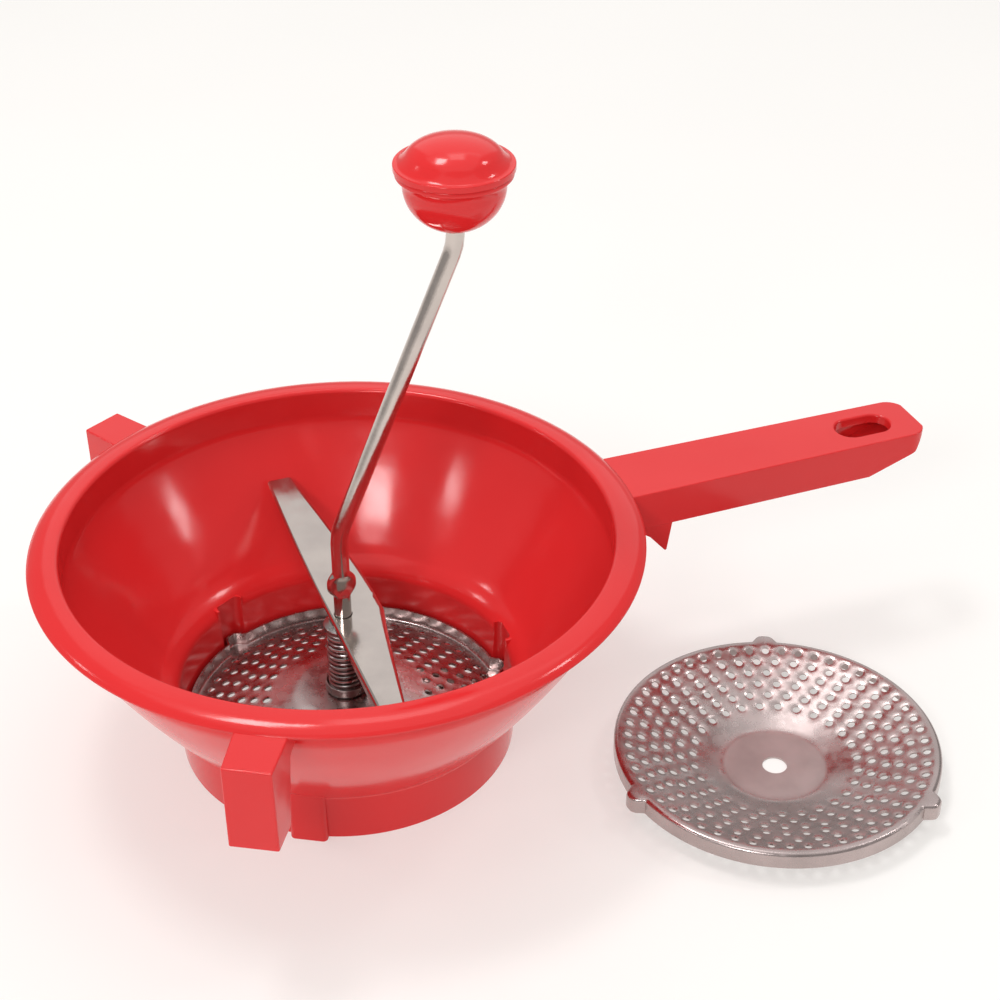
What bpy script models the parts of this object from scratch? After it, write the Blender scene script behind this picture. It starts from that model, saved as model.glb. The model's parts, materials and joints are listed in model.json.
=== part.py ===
"""A hand-cranked food mill with its spare sieve disc lying beside it.

Units are metres and Z points up. The mill's axis stands at AXIS_X, AXIS_Y, so that the origin is below the
middle of the whole set. The handle points along +X. The bowl holds a domed sieve disc on a ledge; the crank
rod carries the blade, passes through the disc and ends in a head that holds the lock bar under the ledge,
and the spring between disc and blade keeps all of it tight.
"""

import math

import bmesh
import bpy
from mathutils import Matrix, Vector

FULL_TURN = 2.0 * math.pi
MERGE = 0.00001
GAP = 0.0003  # clearance between two pieces that touch
OVERRUN = 0.004  # how far a cutter runs past the face that it opens

# Bowl: the rim, the funnel and the skirt below it
RIM_RADIUS = 0.1200
RIM_HEIGHT = 0.0950
RIM_FLANGE = 0.0110
RIM_LIP_DEPTH = 0.0075
RIM_CORNER = 0.0025
BOWL_WALL = 0.0024
FUNNEL_STEP = 0.0055  # how far the funnel's foot stands out from the top of the skirt
FUNNEL_FOOT_HEIGHT = 0.0300
FUNNEL_SLOPE = 0.66  # radius gained for each unit of height
FUNNEL_BLEND = 0.0040  # up and down from the inner corner between funnel and skirt
KNEE_SHARE = 0.6  # of the height from the funnel's knee to the rim
KNEE_LIMIT_SHARE = 0.5  # of the height from the funnel's foot to its knee
SKIRT_FOOT_RADIUS = 0.0684
SKIRT_SPREAD = 0.0016
LEDGE_TOP = 0.0054
LEDGE_THICKNESS = 0.0014
LEDGE_WIDTH = 0.0040
BOWL_STEPS = 60

# Pockets in the skirt that take the ears of the disc, and the bumps outside them
POCKET_WIDTH = 0.0124
POCKET_WALL = 0.0012
POCKET_CORNER_SHARE = 0.5  # of half the width

# Sieve disc: a pressed sheet, domed, with a flange that stands up on the side of the dome
DISC_CLEARANCE = 0.0005
DISC_SHEET = 0.0008
DISC_FLANGE_HEIGHT = 0.0067
DISC_RING_WIDTH = 0.0030
DISC_RISE = 0.0130
DISC_FLAT_RADIUS = 0.0215
DISC_HOLE_RADIUS = 0.0050
DISC_STEPS = 60
EAR_REACH = 0.0040
EAR_WIDTH = 0.0100
EAR_COUNT = 3
HOLE_SIZE = 0.0030
HOLE_ROWS = 4
HOLE_ROW_PITCH = 0.0088
HOLE_PITCH = 0.0130

# Crank rod
ROD_RADIUS = 0.0035
ROD_HEAD_FOOT = 0.0065
ROD_HEAD_HEIGHT = 0.0022
ROD_NECK_RADIUS = 0.0022
ROD_NECK_TOP = 0.0125
ROD_BEND_HEIGHT = 0.0955
ROD_REACH = 0.0500
ROD_TURN_HEIGHT = 0.2120
ROD_BEND_RADIUS = 0.0200
ROD_PIN_LENGTH = 0.0070  # what stands out of the knob's sleeve
ROD_EAR_LIFT = 0.0150  # from the blade up to the middle of the ears
ROD_EAR_LENGTH = 0.0080
ROD_EAR_MARGIN_SHARE = 0.25
ROD_EAR_WIDTH = 0.0120
ROD_EAR_THICKNESS = 0.0045
ROD_SIDES_RESOLUTION = 4

# Blade: a leaf of sheet steel with a pressing wing that hangs from its trailing edge
BLADE_HEIGHT = 0.0570
BLADE_SHEET = 0.0012
BLADE_FAR_REACH = 0.0920
BLADE_NEAR_REACH = 0.0840
BLADE_LEAD = 0.0048
BLADE_BROAD = 0.0165
BLADE_TIP_WIDTH = 0.0095
BLADE_FAR_CURVE = 1.7
BLADE_NEAR_CURVE = 0.9
BLADE_NEAR_TRAIL = 0.0012
BLADE_TIP_RISE = 0.0085
BLADE_LIP = 0.0038
LIP_START = 0.0200
LIP_END_SHARE = 0.6  # of the near reach, where the lip has its full depth
BLADE_EDGE_DROP = 0.0010
BLADE_EDGE_ROUND = 0.0030
BLADE_TIP_ROUND_SHARE = 0.4  # what is left of the rounded edge at the tips
BLADE_NEAR_SHARES = (1.0, 0.93, 0.85, 0.78, 0.72, 0.65, 0.5, 0.35, 0.2, 0.07)
BLADE_FAR_SHARES = (0.25, 0.45, 0.65, 0.82, 1.0)
BLADE_FACE_SHARES = (0.55, 0.8)  # across the face, past the bore
WING_START = 0.0080
WING_SLANT = 0.0040
WING_CLEARANCE = 0.0010
WALL_CLEARANCE = 0.0034

# Spring with its cup on the disc and its collar under the blade
SPRING_RADIUS = 0.0068
SPRING_WIRE = 0.0007
SPRING_TURNS = 13
SPRING_POINTS_PER_TURN = 9
CUP_CLEARANCE = 0.0004
CUP_HEIGHT = 0.0042
CUP_WALL = 0.0009
COLLAR_RADIUS = 0.0082
COLLAR_HEIGHT = 0.0030
PRESS_TRAVEL = 0.0022

# Lock bar under the disc
BAR_SHEET = 0.0012
BAR_WIDTH = 0.0220
BAR_END_WIDTH = 0.0120
BAR_END_CLEARANCE = 0.0020
BAR_FOOT_LENGTH = 0.0090
BAR_RAMP_LENGTH = 0.0120
BAR_JOGGLE_SHARE = 0.4  # of the sheet, by which the upper face runs on past the bends
BAR_KEY_OFFSET = 0.0055

# Handle, with its hanging hole and the hook teeth below it
HANDLE_LENGTH = 0.1375  # past the rim
HANDLE_ROOT_WIDTH = 0.0314
HANDLE_END_WIDTH = 0.0284
HANDLE_DEPTH = 0.0176
HANDLE_WALL = 0.0024
HANDLE_CORNER = 0.0050
HANDLE_KNEE = 0.0275  # from the end of the handle back to where its underside starts to rise
HANDLE_CHIN = 0.0055
HANDLE_CHIN_DEPTH = 0.0100
HANG_HOLE_LENGTH = 0.0250
HANG_HOLE_WIDTH = 0.0140
HANG_HOLE_INSET = 0.0120
TOOTH_LENGTH = 0.0140
TOOTH_TIP_INSET = 0.0025
TOOTH_NOTCH_RISE = 0.0090
TOOTH_WIDTH = 0.0102
TOOTH_REACH = 0.0178  # past the rim

# Support lugs that rest on the rim of a pot
LUG_REACH = 0.0185  # past the rim
LUG_ROOT_WIDTH = 0.0200
LUG_TIP_WIDTH = 0.0180
LUG_DEPTH = 0.0370
LUG_DRAFT = 0.0010
LUG_CHEEK = 0.0140
LUG_WALL = 0.0024
LUG_TURNS = (FULL_TURN / 3.0, -FULL_TURN / 3.0)

# Knob
KNOB_LIFT = 0.0240  # from the rod's upper bend up to the widest place of the cup
KNOB_CUP_RADIUS = 0.0190
KNOB_CUP_DEPTH = 0.0173  # of the whole oval, which the foot cuts off
KNOB_SHOULDER_HEIGHT = 0.0038  # from the cup's widest place out to its lip
KNOB_LIP_RADIUS = 0.0216
KNOB_LIP_HEIGHT = 0.0019
KNOB_EDGE_SHARE = 0.3  # of the height of flange or lip, taken off at its edges
KNOB_FOOT_RADIUS = 0.0062
KNOB_WALL = 0.0020
KNOB_FLANGE_RADIUS = 0.0222
KNOB_FLANGE_HEIGHT = 0.0026
KNOB_DOME_RADIUS = 0.0186
KNOB_DOME_HEIGHT = 0.0093
KNOB_SLEEVE_RADIUS = 0.0058
KNOB_SLEEVE_CLEARANCE = 0.0060  # from the flange plane down to the top of the sleeve
KNOB_PLUG_DEPTH = 0.0040
KNOB_STEPS = 28
NUT_RADIUS = 0.0065
NUT_THICKNESS = 0.0010

# Spare disc, lying dish up on its flat middle
SPARE_X = 0.1530
SPARE_Y = -0.0880
SPARE_TURN = math.radians(67.0)

SMALL_STEPS = 28

# Sizes and places that follow from those above
HANDLE_END = RIM_RADIUS + HANDLE_LENGTH
TOOTH_OUTER = RIM_RADIUS + TOOTH_REACH
LUG_OUTER = RIM_RADIUS + LUG_REACH
SKIRT_TOP_RADIUS = SKIRT_FOOT_RADIUS + SKIRT_SPREAD
FUNNEL_FOOT_RADIUS = SKIRT_TOP_RADIUS + FUNNEL_STEP
SKIRT_INSIDE = SKIRT_FOOT_RADIUS - BOWL_WALL
DISC_RADIUS = SKIRT_INSIDE - DISC_CLEARANCE
LEDGE_RADIUS = DISC_RADIUS - LEDGE_WIDTH
BAR_HALF_LENGTH = SKIRT_INSIDE - BAR_END_CLEARANCE
LUG_CORNER_TURN = LUG_TURNS[0]
LUG_FAR_Y = LUG_OUTER * math.sin(LUG_CORNER_TURN) + 0.5 * LUG_TIP_WIDTH * abs(math.cos(LUG_CORNER_TURN))
AXIS_X = 0.5 * (RIM_RADIUS - HANDLE_END)
AXIS_Y = -0.5 * (LUG_FAR_Y + SPARE_Y - DISC_RADIUS)
SKIRT_DRAFT = (SKIRT_TOP_RADIUS - SKIRT_FOOT_RADIUS) / (FUNNEL_FOOT_HEIGHT - BOWL_WALL)
POCKET_RADIUS = DISC_RADIUS + EAR_REACH + 2.0 * GAP
EAR_HALF_ANGLE = 0.5 * EAR_WIDTH / DISC_RADIUS
DISC_SEAT = LEDGE_TOP + GAP
DISC_TOP = DISC_SEAT + DISC_RISE + DISC_SHEET
DISC_CONE_RADIUS = DISC_RADIUS - DISC_RING_WIDTH
BORE_RADIUS = ROD_RADIUS + GAP
CUP_RADIUS = SPRING_RADIUS + SPRING_WIRE + CUP_CLEARANCE + CUP_WALL
CUP_NECK_RADIUS = DISC_HOLE_RADIUS - CUP_CLEARANCE
CUP_FOOT = DISC_TOP + GAP
SPRING_FOOT = CUP_FOOT + CUP_WALL + GAP + SPRING_WIRE
BAR_END_TOP = LEDGE_TOP - LEDGE_THICKNESS - GAP
BAR_MIDDLE_FOOT = ROD_HEAD_FOOT + ROD_HEAD_HEIGHT + GAP
KNOB_BAND = ROD_TURN_HEIGHT + KNOB_LIFT
KNOB_FOOT = KNOB_BAND - KNOB_CUP_DEPTH * math.sin(math.acos(KNOB_FOOT_RADIUS / KNOB_CUP_RADIUS))
KNOB_PLANE = KNOB_BAND + KNOB_SHOULDER_HEIGHT + KNOB_LIP_HEIGHT
SLEEVE_TOP = KNOB_PLANE - KNOB_SLEEVE_CLEARANCE
ROD_TOP = SLEEVE_TOP + ROD_PIN_LENGTH
ROD_EAR_HEIGHT = BLADE_HEIGHT + ROD_EAR_LIFT
HANDLE_FOOT = RIM_HEIGHT - HANDLE_DEPTH


def clear_scene():
    for obj in list(bpy.data.objects):
        bpy.data.objects.remove(obj, do_unlink=True)


def new_collection(name):
    collection = bpy.data.collections.new(name)
    bpy.context.scene.collection.children.link(collection)
    return collection


def material(name, colour, roughness, metallic):
    made = bpy.data.materials.new(name)
    made.use_nodes = True
    shader = made.node_tree.nodes["Principled BSDF"]
    shader.inputs["Base Color"].default_value = (*colour, 1.0)
    shader.inputs["Roughness"].default_value = roughness
    shader.inputs["Metallic"].default_value = metallic
    return made


def add_object(name, mesh, collection, finish=None):
    obj = bpy.data.objects.new(name, mesh)
    collection.objects.link(obj)
    if finish:
        mesh.materials.clear()
        mesh.materials.append(finish)
    return obj


def as_cutter(obj):
    obj.hide_render = True
    obj.display_type = "WIRE"
    return obj


def join_or_cut(target, other, operation):
    """Adds or removes the other object, which stays in the scene as a hidden cutter."""
    modifier = target.modifiers.new(operation.lower() + "_" + other.name, "BOOLEAN")
    modifier.operation = operation
    modifier.solver = "EXACT"
    modifier.object = as_cutter(other)


def shade_smooth(mesh):
    mesh.shade_smooth()
    mesh.set_sharp_from_angle(angle=math.radians(35.0))


def bend(start, corner, end, steps):
    """Points of a rounded corner from start to end, drawn towards the corner point."""
    points = []
    for step in range(steps + 1):
        t = step / steps
        points.append(
            tuple((1 - t) ** 2 * a + 2 * t * (1 - t) * b + t * t * c for a, b, c in zip(start, corner, end))
        )
    return points


def arc(centre, radius, first, last, steps, stretch=1.0):
    """Points on an arc, with the angles in radians; stretch scales the second direction."""
    points = []
    for step in range(steps + 1):
        angle = first + (last - first) * step / steps
        points.append((centre[0] + radius * math.cos(angle), centre[1] + stretch * radius * math.sin(angle)))
    return points


def turned(name, profile, collection, finish=None, steps=SMALL_STEPS, closed=True):
    """A profile of (radius, height) points, down its outer side, turned about Z; open, it ends on the axis."""
    mesh = bpy.data.meshes.new(name)
    points = [(radius, 0.0, height) for radius, height in profile]
    edges = [(i, i + 1) for i in range(len(points) - 1)]
    if closed:
        edges.append((len(points) - 1, 0))
    mesh.from_pydata(points, edges, [])
    obj = add_object(name, mesh, collection, finish)
    screw = obj.modifiers.new("turn", "SCREW")
    screw.steps = screw.render_steps = steps
    screw.use_merge_vertices = True
    screw.merge_threshold = MERGE
    screw.use_smooth_shade = True
    return obj


def mesh_from_curve(name, curve_object, collection, finish=None):
    """A mesh object with the curve's shape and place; the curve is removed."""
    bpy.context.view_layer.update()
    evaluated = curve_object.evaluated_get(bpy.context.evaluated_depsgraph_get())
    mesh = bpy.data.meshes.new_from_object(evaluated)
    mesh.name = name
    edit = bmesh.new()
    edit.from_mesh(mesh)
    bmesh.ops.remove_doubles(edit, verts=edit.verts, dist=MERGE)
    bmesh.ops.transform(edit, matrix=curve_object.matrix_world, verts=edit.verts)
    bmesh.ops.recalc_face_normals(edit, faces=edit.faces)
    edit.to_mesh(mesh)
    edit.free()
    bpy.data.objects.remove(curve_object, do_unlink=True)
    return add_object(name, mesh, collection, finish)


def plate(name, outline, low, high, collection, finish=None, upright=False):
    """A flat outline made solid from low to high: along Z, or along Y where it stands upright in X and Z."""
    curve = bpy.data.curves.new(name + "_outline", "CURVE")
    curve.dimensions = "2D"
    curve.fill_mode = "BOTH"
    curve.extrude = 0.5 * (high - low)
    spline = curve.splines.new("POLY")
    spline.points.add(len(outline) - 1)
    for point, (x, y) in zip(spline.points, outline):
        point.co = (x, y, 0.0, 1.0)
    spline.use_cyclic_u = True
    holder = bpy.data.objects.new(name + "_outline", curve)
    collection.objects.link(holder)
    middle = 0.5 * (low + high)
    if upright:
        holder.rotation_euler = (math.pi / 2.0, 0.0, 0.0)
        holder.location = (0.0, middle, 0.0)
    else:
        holder.location = (0.0, 0.0, middle)
    return mesh_from_curve(name, holder, collection, finish)


def rod_mesh(name, path, radii, depth, resolution, collection, finish=None):
    """A round rod along a path of points, each with its own share of the depth as radius."""
    curve = bpy.data.curves.new(name + "_path", "CURVE")
    curve.dimensions = "3D"
    curve.bevel_depth = depth
    curve.bevel_resolution = resolution
    curve.use_fill_caps = True
    spline = curve.splines.new("POLY")
    spline.points.add(len(path) - 1)
    for point, place, radius in zip(spline.points, path, radii):
        point.co = (*place, 1.0)
        point.radius = radius
    holder = bpy.data.objects.new(name + "_path", curve)
    collection.objects.link(holder)
    return mesh_from_curve(name, holder, collection, finish)


def turn_mesh(obj, angle):
    obj.data.transform(Matrix.Rotation(angle, 4, "Z"))
    return obj


def skirt_radius(height):
    return SKIRT_FOOT_RADIUS + SKIRT_DRAFT * height


def funnel_profile(inset):
    """Points of the funnel's wall, from the rim down to its foot, set in from the outer face."""
    reach = inset * math.hypot(1.0, FUNNEL_SLOPE)
    wall_top = RIM_RADIUS - RIM_FLANGE + BOWL_WALL - inset
    foot = (FUNNEL_FOOT_RADIUS - reach, FUNNEL_FOOT_HEIGHT)
    knee_height = foot[1] + (wall_top - foot[0]) / FUNNEL_SLOPE
    spread = min(KNEE_SHARE * (RIM_HEIGHT - knee_height), KNEE_LIMIT_SHARE * (knee_height - foot[1]))
    below = (wall_top - FUNNEL_SLOPE * spread, knee_height - spread)
    above = (wall_top, knee_height + spread)
    return bend(above, (wall_top, knee_height), below, 4) + [foot]


def funnel_height(radius):
    """Height at which the inside of the funnel has this radius."""
    inner_foot = FUNNEL_FOOT_RADIUS - BOWL_WALL * math.hypot(1.0, FUNNEL_SLOPE)
    return FUNNEL_FOOT_HEIGHT + (radius - inner_foot) / FUNNEL_SLOPE


def inner_blend():
    """Points of the soft corner inside the bowl, from the skirt up to the funnel."""
    foot_radius, foot_height = funnel_profile(BOWL_WALL)[-1]
    corner = (SKIRT_TOP_RADIUS - BOWL_WALL, foot_height - 0.5 * BOWL_WALL)
    low = (corner[0], corner[1] - FUNNEL_BLEND)
    high = (foot_radius + FUNNEL_SLOPE * FUNNEL_BLEND, foot_height + FUNNEL_BLEND)
    return bend(low, corner, high, 4)


def bowl_profile():
    """The bowl's wall in section, from the inner edge of the rim out, down, and back up inside."""
    lip_foot = RIM_HEIGHT - RIM_LIP_DEPTH
    under = RIM_HEIGHT - BOWL_WALL
    lip_inner = RIM_RADIUS - BOWL_WALL
    inner_edge = RIM_RADIUS - RIM_FLANGE
    shoulder = FUNNEL_FOOT_HEIGHT - BOWL_WALL
    rounding = 0.5 * BOWL_WALL
    rim = [(inner_edge + rounding, RIM_HEIGHT)]
    rim += bend((RIM_RADIUS - RIM_CORNER, RIM_HEIGHT), (RIM_RADIUS, RIM_HEIGHT),
                (RIM_RADIUS, RIM_HEIGHT - RIM_CORNER), 3)
    rim += [(RIM_RADIUS, lip_foot), (lip_inner, lip_foot), (lip_inner, under)]
    rim += [(inner_edge + BOWL_WALL, under)]
    skirt_top = (skirt_radius(shoulder - BOWL_WALL), shoulder - BOWL_WALL)
    outer = funnel_profile(0.0)[1:]
    outer += bend((SKIRT_TOP_RADIUS + BOWL_WALL, shoulder), (SKIRT_TOP_RADIUS, shoulder), skirt_top, 2)
    ledge_foot = LEDGE_TOP - LEDGE_THICKNESS
    skirt = [(SKIRT_FOOT_RADIUS, 0.0), (SKIRT_INSIDE, 0.0)]
    skirt += [(skirt_radius(ledge_foot) - BOWL_WALL, ledge_foot), (LEDGE_RADIUS, ledge_foot)]
    skirt += [(LEDGE_RADIUS, LEDGE_TOP), (skirt_radius(LEDGE_TOP) - BOWL_WALL, LEDGE_TOP)]
    inner = list(reversed(funnel_profile(BOWL_WALL)[:-1]))
    return rim + outer + skirt + inner_blend() + inner + [(inner_edge, RIM_HEIGHT - rounding)]


def handle_body(name, inset, root, collection):
    """The handle's block, set in on its sides and end; its top is set in too unless the inset is zero."""
    end = HANDLE_END - inset
    corner = HANDLE_CORNER - 0.5 * inset
    half_root = 0.5 * HANDLE_ROOT_WIDTH - inset
    half_end = 0.5 * HANDLE_END_WIDTH - inset
    outline = [(root, -half_root)]
    outline += bend((end - corner, -half_end), (end, -half_end), (end, corner - half_end), 3)
    outline += bend((end, half_end - corner), (end, half_end), (end - corner, half_end), 3)
    outline += [(root, half_root)]
    foot = HANDLE_FOOT - (OVERRUN if inset else 0.0)
    block = plate(name, outline, foot, RIM_HEIGHT - inset, collection)
    knee = (HANDLE_END - HANDLE_KNEE, HANDLE_FOOT)
    chin = (HANDLE_END - HANDLE_CHIN, RIM_HEIGHT - HANDLE_CHIN_DEPTH)
    tip = (HANDLE_END, RIM_HEIGHT)
    for (x1, z1), (x2, z2) in ((knee, chin), (chin, tip)):
        normal = Vector((z2 - z1, 0.0, x1 - x2)).normalized()
        edit = bmesh.new()
        edit.from_mesh(block.data)
        cut = bmesh.ops.bisect_plane(
            edit, geom=edit.verts[:] + edit.edges[:] + edit.faces[:], dist=MERGE,
            plane_co=Vector((x1, 0.0, z1)) - inset * normal, plane_no=normal, clear_outer=True,
        )
        edges = [item for item in cut["geom_cut"] if isinstance(item, bmesh.types.BMEdge)]
        bmesh.ops.holes_fill(edit, edges=edges)
        bmesh.ops.recalc_face_normals(edit, faces=edit.faces)
        edit.to_mesh(block.data)
        edit.free()
    return block


def hanging_hole(name, margin, collection):
    """The slot-shaped hole near the handle's end, right through, or the boss with this margin round it."""
    radius = 0.5 * HANG_HOLE_WIDTH
    far = (HANDLE_END - HANG_HOLE_INSET - radius, 0.0)
    near = (HANDLE_END - HANG_HOLE_INSET - HANG_HOLE_LENGTH + radius, 0.0)
    quarter = 0.25 * FULL_TURN
    outline = arc(far, radius + margin, -quarter, quarter, 8)
    outline += arc(near, radius + margin, quarter, 3.0 * quarter, 8)
    return plate(name, outline, HANDLE_FOOT - 2.0 * OVERRUN, RIM_HEIGHT + OVERRUN, collection)


def handle_half_width(x):
    share = (x - RIM_RADIUS) / (HANDLE_END - RIM_RADIUS)
    return 0.5 * (HANDLE_ROOT_WIDTH + share * (HANDLE_END_WIDTH - HANDLE_ROOT_WIDTH))


def hook_tooth(name, side, collection):
    """One tooth: the handle's side wall runs down here to a point that hooks over the pot."""
    tip = (TOOTH_OUTER - TOOTH_TIP_INSET, HANDLE_FOOT - TOOTH_LENGTH)
    notch = (TOOTH_OUTER - TOOTH_WIDTH, tip[1] + TOOTH_NOTCH_RISE)
    root = HANDLE_FOOT + HANDLE_WALL
    outline = [(TOOTH_OUTER, root), tip, notch, (RIM_RADIUS, HANDLE_FOOT), (RIM_RADIUS, root)]
    outer = side * (handle_half_width(TOOTH_OUTER) - GAP)
    inner = side * (handle_half_width(TOOTH_OUTER) - HANDLE_WALL)
    return plate(name, outline, min(outer, inner), max(outer, inner), collection, upright=True)


def lug_body(name, inset, collection):
    """A lug pointing along +X, as an upright outline that is then narrowed towards its outer face."""
    foot = RIM_HEIGHT - LUG_DEPTH
    root = RIM_RADIUS - BOWL_WALL + GAP + inset
    lip_foot = RIM_HEIGHT - RIM_LIP_DEPTH
    low = foot - (OVERRUN if inset else 0.0)
    outline = [
        (root, RIM_HEIGHT - inset),
        (LUG_OUTER - inset, RIM_HEIGHT - inset),
        (LUG_OUTER - LUG_DRAFT - inset, low),
        (LUG_OUTER - LUG_DRAFT - LUG_CHEEK + inset, low),
        (root + 0.5 * BOWL_WALL, lip_foot),
        (root, lip_foot),
    ]
    half = 0.5 * LUG_ROOT_WIDTH - inset
    block = plate(name, outline, -half, half, collection, upright=True)
    narrow = (0.5 * LUG_TIP_WIDTH - inset) / half
    for vertex in block.data.vertices:
        share = (vertex.co.x - RIM_RADIUS) / (LUG_OUTER - RIM_RADIUS)
        vertex.co.y *= 1.0 + min(1.0, max(0.0, share)) * (narrow - 1.0)
    return block


def pocket_block(name, half_width, inner, outer, low, high, collection):
    """A block that stands on the skirt's side at +X, with rounded outer corners."""
    corner = POCKET_CORNER_SHARE * half_width
    outline = [(inner, -half_width)]
    outline += bend((outer - corner, -half_width), (outer, -half_width), (outer, corner - half_width), 2)
    outline += bend((outer, half_width - corner), (outer, half_width), (outer - corner, half_width), 2)
    outline += [(inner, half_width)]
    return plate(name, outline, low, high, collection)


def make_bowl(parts, cutters, finish):
    """The bowl, handle, lugs and pockets: one moulding."""
    bowl = turned("bowl", bowl_profile(), parts, finish, BOWL_STEPS)
    wall_middle = SKIRT_FOOT_RADIUS - 0.5 * BOWL_WALL
    half_bump = 0.5 * POCKET_WIDTH + POCKET_WALL
    for index in range(EAR_COUNT):
        turn = index * FULL_TURN / EAR_COUNT
        bump = pocket_block(f"pocket_bump_{index}", half_bump, wall_middle, POCKET_RADIUS + POCKET_WALL,
                            0.0, FUNNEL_FOOT_HEIGHT, cutters)
        join_or_cut(bowl, turn_mesh(bump, turn), "UNION")
    handle = handle_body("handle_block", 0.0, RIM_RADIUS - BOWL_WALL + GAP, cutters)
    join_or_cut(bowl, handle, "UNION")
    for side in (-1, 1):
        join_or_cut(bowl, hook_tooth("tooth_low" if side < 0 else "tooth_high", side, cutters), "UNION")
    for index, turn in enumerate(LUG_TURNS):
        join_or_cut(bowl, turn_mesh(lug_body(f"lug_block_{index}", 0.0, cutters), turn), "UNION")
        hollow = lug_body(f"lug_hollow_{index}", LUG_WALL, cutters)
        join_or_cut(bowl, turn_mesh(hollow, turn), "DIFFERENCE")
    hollow = handle_body("handle_hollow", HANDLE_WALL, RIM_RADIUS + HANDLE_WALL, cutters)
    join_or_cut(hollow, hanging_hole("hanging_boss", HANDLE_WALL, cutters), "DIFFERENCE")
    join_or_cut(bowl, hollow, "DIFFERENCE")
    join_or_cut(bowl, hanging_hole("hanging_hole", 0.0, cutters), "DIFFERENCE")
    for index in range(EAR_COUNT):
        turn = index * FULL_TURN / EAR_COUNT
        pocket = pocket_block(f"ear_pocket_{index}", 0.5 * POCKET_WIDTH, LEDGE_RADIUS + OVERRUN, POCKET_RADIUS,
                              LEDGE_TOP, FUNNEL_FOOT_HEIGHT + OVERRUN, cutters)
        join_or_cut(bowl, turn_mesh(pocket, turn), "DIFFERENCE")
    return bowl


def disc_profile():
    """The middle of the disc's sheet from its centre hole to the top of its flange, seat plane at zero."""
    half = 0.5 * DISC_SHEET
    flange = DISC_RADIUS - half
    return [
        (DISC_HOLE_RADIUS, DISC_RISE + half),
        (DISC_FLAT_RADIUS, DISC_RISE + half),
        (DISC_CONE_RADIUS, half),
        (flange - DISC_SHEET, half),
        (flange, half + DISC_SHEET),
        (flange, DISC_FLANGE_HEIGHT),
    ]


def ear_swell(angle):
    """How far the flange is pressed out at this angle: three ears, one of them at angle zero."""
    spacing = FULL_TURN / EAR_COUNT
    away = abs((angle + 0.5 * spacing) % spacing - 0.5 * spacing)
    if away >= EAR_HALF_ANGLE:
        return 0.0
    return EAR_REACH * math.cos(0.5 * math.pi * away / EAR_HALF_ANGLE)


def hole_centres():
    """(radius, angle) of each perforation, in rings whose counts grow with their radius."""
    places = []
    for row in range(HOLE_ROWS):
        radius = DISC_CONE_RADIUS - HOLE_SIZE - row * HOLE_ROW_PITCH
        count = round(FULL_TURN * radius / HOLE_PITCH)
        for index in range(count):
            places.append((radius, FULL_TURN * (index + 0.5 * (row % 2)) / count))
    return places


def make_disc_mesh(cutters):
    """The pressed disc, dome up, with its seat plane at zero and an ear at angle zero."""
    edit = bmesh.new()
    profile = [edit.verts.new((radius, 0.0, height)) for radius, height in disc_profile()]
    edges = [edit.edges.new(pair) for pair in zip(profile, profile[1:])]
    bmesh.ops.spin(edit, geom=profile + edges, cent=(0, 0, 0), axis=(0, 0, 1), angle=FULL_TURN,
                   steps=DISC_STEPS, use_merge=True)
    bmesh.ops.remove_doubles(edit, verts=edit.verts, dist=MERGE)
    for vertex in edit.verts:
        radius = math.hypot(vertex.co.x, vertex.co.y)
        if radius > DISC_RADIUS - DISC_SHEET:
            swell = ear_swell(math.atan2(vertex.co.y, vertex.co.x))
            vertex.co.x *= 1.0 + swell / radius
            vertex.co.y *= 1.0 + swell / radius
    bmesh.ops.recalc_face_normals(edit, faces=edit.faces)
    mesh = bpy.data.meshes.new("disc_sheet")
    edit.to_mesh(mesh)
    edit.free()
    sheet = add_object("disc_blank", mesh, cutters)
    solid = sheet.modifiers.new("sheet", "SOLIDIFY")
    solid.thickness = DISC_SHEET
    solid.offset = 0.0
    solid.use_even_offset = True
    holes = bmesh.new()
    for radius, angle in hole_centres():
        rise = DISC_RISE * (DISC_CONE_RADIUS - radius) / (DISC_CONE_RADIUS - DISC_FLAT_RADIUS)
        place = Matrix.Rotation(angle, 4, "Z") @ Matrix.Translation((radius, 0.0, rise))
        size = Matrix.Diagonal((HOLE_SIZE, HOLE_SIZE, OVERRUN, 1.0))
        bmesh.ops.create_cube(holes, size=1.0, matrix=place @ size)
    hole_mesh = bpy.data.meshes.new("perforations")
    holes.to_mesh(hole_mesh)
    holes.free()
    join_or_cut(sheet, add_object("perforations", hole_mesh, cutters), "DIFFERENCE")
    bpy.context.view_layer.update()
    evaluated = sheet.evaluated_get(bpy.context.evaluated_depsgraph_get())
    made = bpy.data.meshes.new_from_object(evaluated)
    made.name = "sieve"
    as_cutter(sheet)
    shade_smooth(made)
    return made


def disc_surface(radius):
    """Height of the top of the seated disc at this radius from the axis."""
    share = (DISC_CONE_RADIUS - radius) / (DISC_CONE_RADIUS - DISC_FLAT_RADIUS)
    return DISC_SEAT + DISC_SHEET + DISC_RISE * min(1.0, max(0.0, share))


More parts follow.
